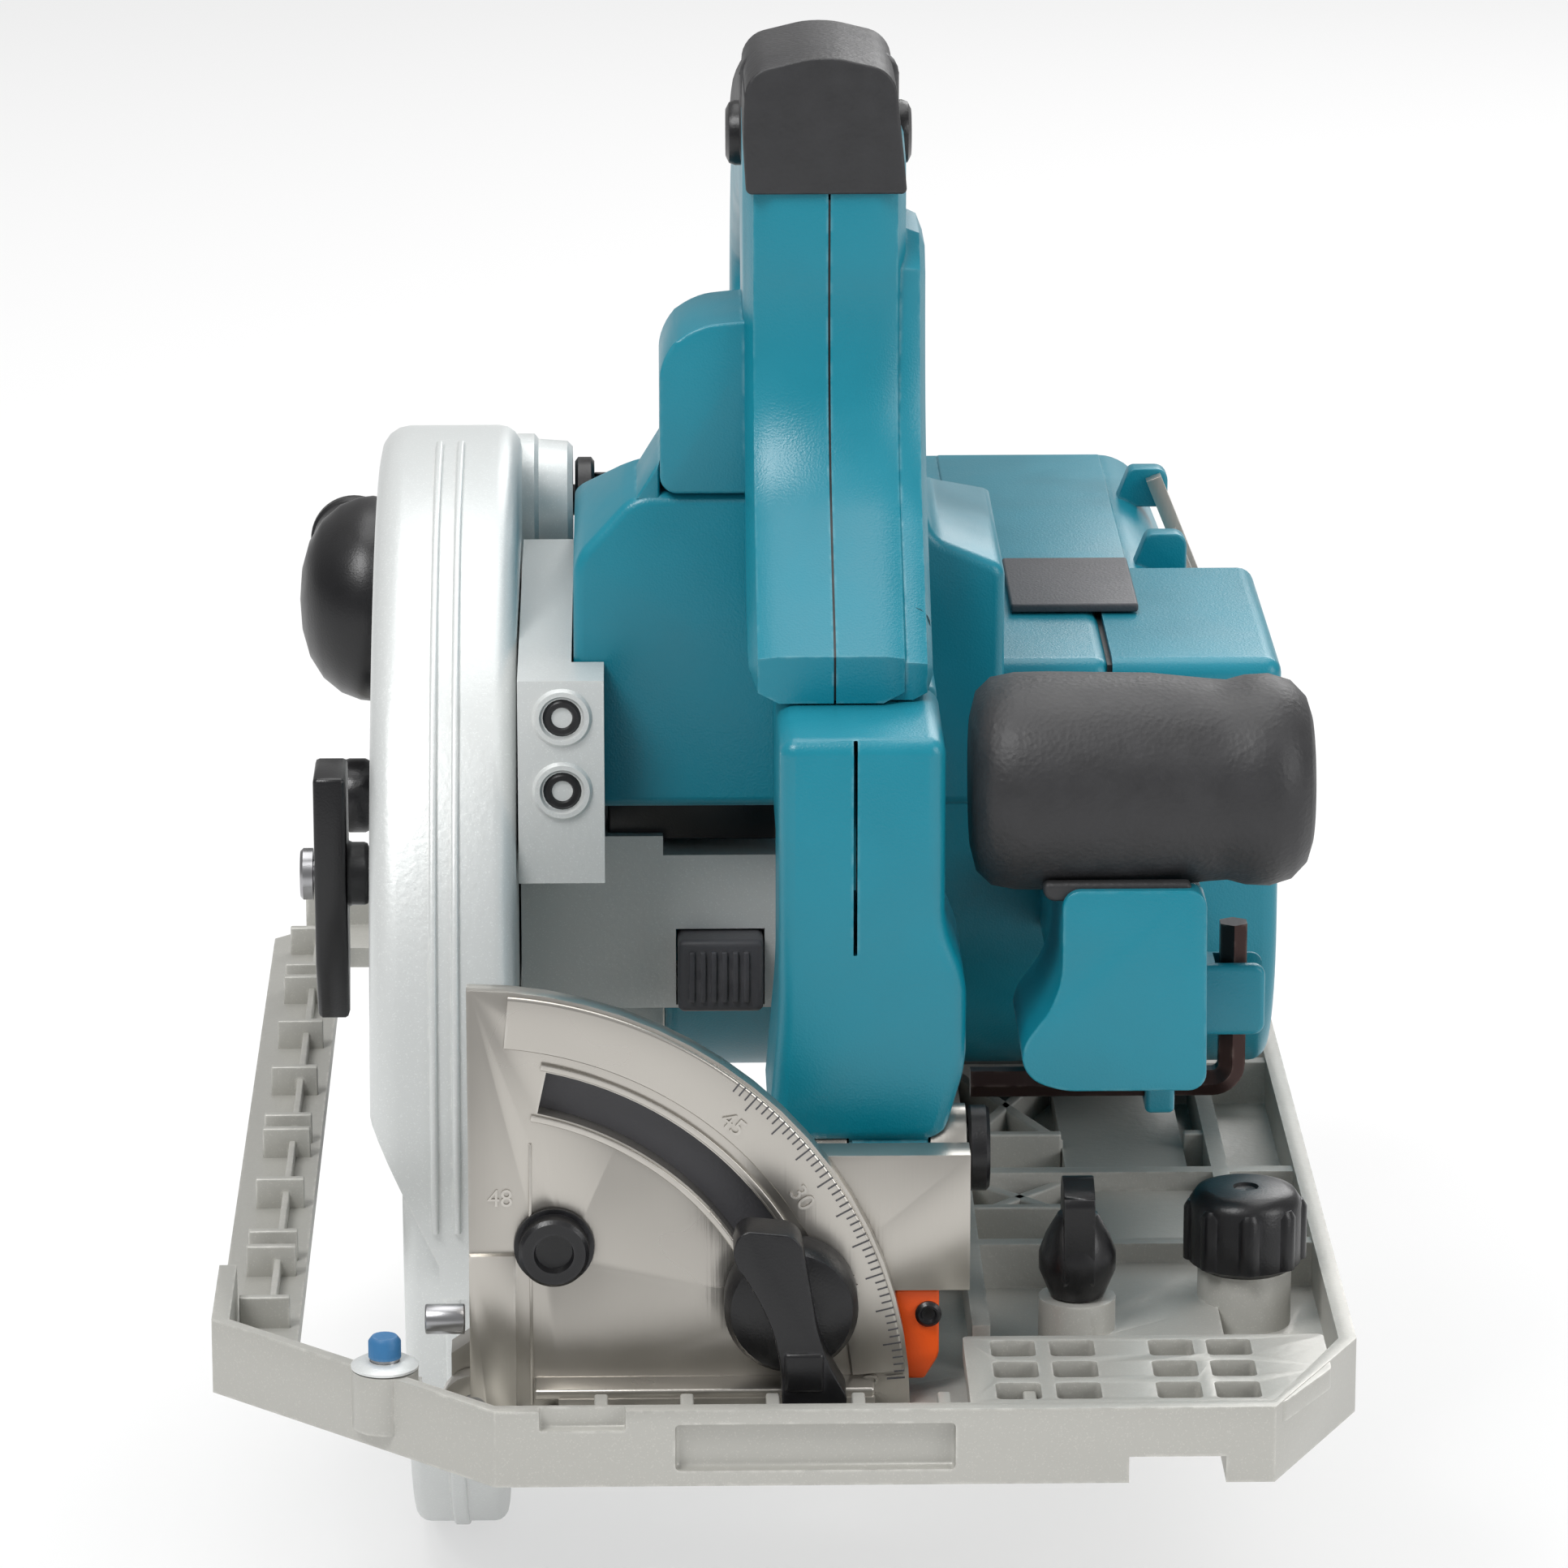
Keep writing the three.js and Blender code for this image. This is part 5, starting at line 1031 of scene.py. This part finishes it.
class SAW_OT_sole(bpy.types.Operator):
    """Make the cast sole with its ribs, and the knobs and screws on it"""
    bl_idname = "saw.sole"
    bl_label = "Sole"

    def execute(self, context):
        rib = context.scene.saw_sizes.rib
        front = span("sole_plate")[2]
        pocket = block((-28, 17.5), (front - 2, front + 2.2), (2.6, 10.6), rim=0.8)
        small = block((-50, -36), (front - 2, front + 2.2), (9.6, 16), rim=0.4)
        made("sole_casting", carved(softened("sole_plate", 0.6), pocket, small), "magnesium", "sole_plate")
        cells = [
            [(x, y, 1), (x + 7.4, y, 1), (x + 7.4, y + 7.6, 1), (x, y + 7.6, 1)]
            for x in (24.4, 34.2, 50.6, 60.2) for y in (-179.4, -169.4, -159.4)]
        lid = slab([(20, -181.6, 1), (71, -181.6, 1), (80, -166, 1), (80, -149.6, 1), (20, -149.6, 1)], "Z", 9.4, 12.9,
                   holes=cells, rim=0.4, rim_steps=2)
        made("sole_grid", lid, "magnesium", body="base")
        floor, top = 3.6, 11.6
        spans = [(-3, 22), (25, 42), (65, 68)]
        ribs = []
        for y in (-80, -40, 20, 42, 86):
            for low, high in spans:
                ribs.append(block((low - 0.5, high + 0.5), (y - rib / 2, y + rib / 2), (floor, top), rim=0.4))
        for low, high in ((-3, 22), (25, 42)):
            for y0, y1 in ((-80, -62), (42, 62), (-40, 0), (0, 20)):
                middle, half = (low + high) / 2, (high - low) / 2
                length = math.hypot(high - low, y1 - y0)
                angle = math.degrees(math.atan2(y1 - y0, high - low))
                for sign in (1, -1):
                    strut = block((middle - length / 2, middle + length / 2),
                                  ((y0 + y1) / 2 - rib / 2, (y0 + y1) / 2 + rib / 2), (floor, top - 1.4), rim=0.4)
                    ribs.append(turned(strut, "Z", sign * angle, (middle, (y0 + y1) / 2, 0)))
        for y in (-118, -92, -84, -56, -28, -20, 8, 36, 64, 72, 96):
            ribs.append(block((-101.6, -93.0), (y - 0.9, y + 0.9), (floor, 9.5), rim=0.3))
        ribs.append(block((-96.8, -95.6), (-118, 96), (floor, 7.2), rim=0.3))
        for x in range(-40, 44, 14):
            ribs.append(block((x - rib / 2, x + rib / 2), (-181, -172), (floor, top), rim=0.4))
        made("sole_ribs", together(*ribs), "magnesium", body="base")

        x0, x1, y0, y1, z0, z1 = span("wing_knob")
        wx, wy = pivot("wing_knob_turn")[:2]
        hub = lathe([(0.001, z0), (2.5, z0), (2.5, 14.4), (4.6, 14.4), (6.5, 19), (6.5, 22), (5.4, 25), (3.4, 28.6),
                     (0.001, 30)], "Z", wx, wy, 24)
        wing = slab([(y0 + 0.4, 17, 2), (y1 - 0.4, 17, 2), (y1 - 1, z1 - 3, 4), (wy + 3, z1, 3), (wy - 3, z1, 3),
                     (y0 + 1, z1 - 3, 4)], "X", wx - 2.6, wx + 2.6, rim=1.6)
        made("wing_screw", together(hub, wing), "black_plastic", "wing_knob")
        x0, x1, y0, y1, z0, z1 = span("fluted_knob")
        fx, fy = pivot("fluted_knob_turn")[:2]
        base = lathe(
            [(0.001, z0), (2.5, z0), (2.5, 14.4), (8.6, 14.4), (9.6, 15.2), (9.6, z1 - 2.4), (8.4, z1 - 0.6),
             (6.6, z1), (2.2, z1), (1.8, z1 - 0.5), (0.001, z1 - 0.6)], "Z", fx, fy)
        flutes = [
            turned(lathe([(0.001, 14.8), (2.1, 15.4), (2.1, z1 - 3.4), (1.4, z1 - 2.2), (0.001, z1 - 2.1)], "Z",
                         fx + 8.4, fy, 20), "Z", 45 * i, (fx, fy, 0)) for i in range(8)]
        made("fluted_screw", together(base, *flutes), "black_plastic", "fluted_knob")
        x0, x1, y0, y1, z0, z1 = span("adjust_screw")
        sx, sy = (x0 + x1) / 2, (y0 + y1) / 2
        screw = lathe(
            [(0.001, z0), (2, z0), (2, 13.4), (4.2, 13.4), (4.2, 14.2), (2.4, 14.4), (2.4, z1 - 0.4), (2, z1),
             (1.2, z1), (1.1, z1 - 1.4), (0.001, z1 - 1.5)], "Z", sx, sy)
        made("square_adjuster", screw, "steel", "adjust_screw")
        washer = lathe([(2.5, 13.3), (5.6, 13.3), (5.6, 13.7), (4.4, 14.4), (2.5, 14.4), (2.5, 13.3)], "Z", sx, sy)
        made("adjuster_collar", washer, "silver_casting", body="base")
        lock = lathe([(0.001, z1 - 1.6), (2.7, z1 - 1.6), (2.7, z1 + 1.2), (2.1, z1 + 2), (0.001, z1 + 2)], "Z",
                     sx, sy, 20)
        made("adjuster_thread", lock, "blue_thread", body="base")
        return {"FINISHED"}


class SAW_OT_stage(bpy.types.Operator):
    """Make the floor, the soft lamps and the camera"""
    bl_idname = "saw.stage"
    bl_label = "Studio"

    def execute(self, context):
        scene = context.scene
        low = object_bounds()[0].z
        bm = bmesh.new()
        bmesh.ops.create_grid(bm, x_segments=1, y_segments=1, size=6.0, matrix=Matrix.Translation((0, 2, low)))
        mesh = bpy.data.meshes.new("floor")
        bm.to_mesh(mesh)
        bm.free()
        floor = bpy.data.objects.new("floor", mesh)
        scene.collection.objects.link(floor)
        floor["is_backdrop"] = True
        pale = bpy.data.materials.new("floor_paint")
        pale.use_nodes = True
        tree = pale.node_tree
        shader = tree.nodes["Principled BSDF"]
        shader.inputs["Base Color"].default_value = (0.9, 0.9, 0.9, 1)
        shader.inputs["Roughness"].default_value = 0.8
        shader.inputs["Specular IOR Level"].default_value = 0.2
        seen = node(tree, "ShaderNodeLightPath")
        either = node(tree, "ShaderNodeMath", operation="MAXIMUM",
                      values={0: seen.outputs["Is Camera Ray"], 1: seen.outputs["Is Glossy Ray"]})
        share = node(tree, "ShaderNodeMath", operation="MULTIPLY", values={0: either.outputs[0], 1: 0.55})
        glow = node(tree, "ShaderNodeEmission", values={"Strength": 1.0})
        mix = node(tree, "ShaderNodeMixShader")
        tree.links.new(share.outputs[0], mix.inputs[0])
        tree.links.new(shader.outputs[0], mix.inputs[1])
        tree.links.new(glow.outputs[0], mix.inputs[2])
        tree.links.new(mix.outputs[0], tree.nodes["Material Output"].inputs["Surface"])
        mesh.materials.append(pale)

        world = bpy.data.worlds.new("room")
        world.use_nodes = True
        scene.world = world
        tree = world.node_tree
        tree.nodes["Background"].inputs["Strength"].default_value = 0.34
        seen = node(tree, "ShaderNodeLightPath")
        white = node(tree, "ShaderNodeBackground", values={"Strength": 1.0})
        white.inputs["Color"].default_value = (1, 1, 1, 1)
        tree.nodes["Background"].inputs["Color"].default_value = (1, 1, 1, 1)
        mix = node(tree, "ShaderNodeMixShader")
        tree.links.new(seen.outputs["Is Camera Ray"], mix.inputs[0])
        tree.links.new(tree.nodes["Background"].outputs[0], mix.inputs[1])
        tree.links.new(white.outputs[0], mix.inputs[2])
        tree.links.new(mix.outputs[0], tree.nodes["World Output"].inputs["Surface"])

        aim = Vector((-0.01, -0.02, 0.07))
        for name, place, size, power in (
            ("key_lamp", (-0.7, -0.9, 1.5), 0.7, 19), ("fill_lamp", (1.3, -0.9, 0.7), 0.8, 8),
            ("top_lamp", (0.1, 0.3, 1.5), 1.2, 12), ("rear_lamp", (0.6, 1.3, 0.9), 0.8, 8)):
            lamp = bpy.data.lights.new(name, "AREA")
            lamp.size = size
            lamp.energy = power
            lamp_object = bpy.data.objects.new(name, lamp)
            scene.collection.objects.link(lamp_object)
            lamp_object.location = place
            lamp_object.rotation_euler = (aim - Vector(place)).to_track_quat("-Z", "Y").to_euler()

        lens = bpy.data.cameras.new("camera")
        lens.lens = 176.75
        lens.sensor_width = 36.0
        lens.clip_end = 20
        camera = bpy.data.objects.new("camera", lens)
        scene.collection.objects.link(camera)
        camera.location = (-0.034658, -1.353429, 0.453835)
        camera.rotation_euler = (math.radians(74), 0, math.radians(-1.19))
        scene.camera = camera
        scene.view_settings.view_transform = "Standard"
        return {"FINISHED"}


class SAW_PT_panel(bpy.types.Panel):
    """The saw's sizes, colours and pieces"""
    bl_idname = "SAW_PT_panel"
    bl_label = "Cordless circular saw"
    bl_space_type = "VIEW_3D"
    bl_region_type = "UI"
    bl_category = "Saw"

    def draw(self, context):
        for group in (context.scene.saw_sizes, context.scene.saw_colours):
            for name in group.bl_rna.properties.keys():
                if name not in {"rna_type", "name"}:
                    self.layout.prop(group, name)
        for operator in OPERATORS:
            self.layout.operator(operator.bl_idname)


OPERATORS = (
    SAW_OT_finishes, SAW_OT_blade_case, SAW_OT_guard, SAW_OT_gear_housing, SAW_OT_motor, SAW_OT_handle,
    SAW_OT_front, SAW_OT_battery, SAW_OT_ports, SAW_OT_brackets, SAW_OT_sole, SAW_OT_stage)
CLASSES = (SawColours, SawSizes, *OPERATORS, SAW_PT_panel)


def register():
    for item in CLASSES:
        bpy.utils.register_class(item)
    bpy.types.Scene.saw_colours = bpy.props.PointerProperty(type=SawColours)
    bpy.types.Scene.saw_sizes = bpy.props.PointerProperty(type=SawSizes)


def unregister():
    del bpy.types.Scene.saw_sizes
    del bpy.types.Scene.saw_colours
    for item in reversed(CLASSES):
        bpy.utils.unregister_class(item)


def main():
    register()
    bpy.ops.saw.finishes()
    bpy.ops.saw.blade_case()
    bpy.ops.saw.guard()
    bpy.ops.saw.gear_housing()
    bpy.ops.saw.motor()
    bpy.ops.saw.handle()
    bpy.ops.saw.front()
    bpy.ops.saw.battery()
    bpy.ops.saw.ports()
    bpy.ops.saw.brackets()
    bpy.ops.saw.sole()
    bpy.ops.saw.stage()


if __name__ == "__main__":
    main()
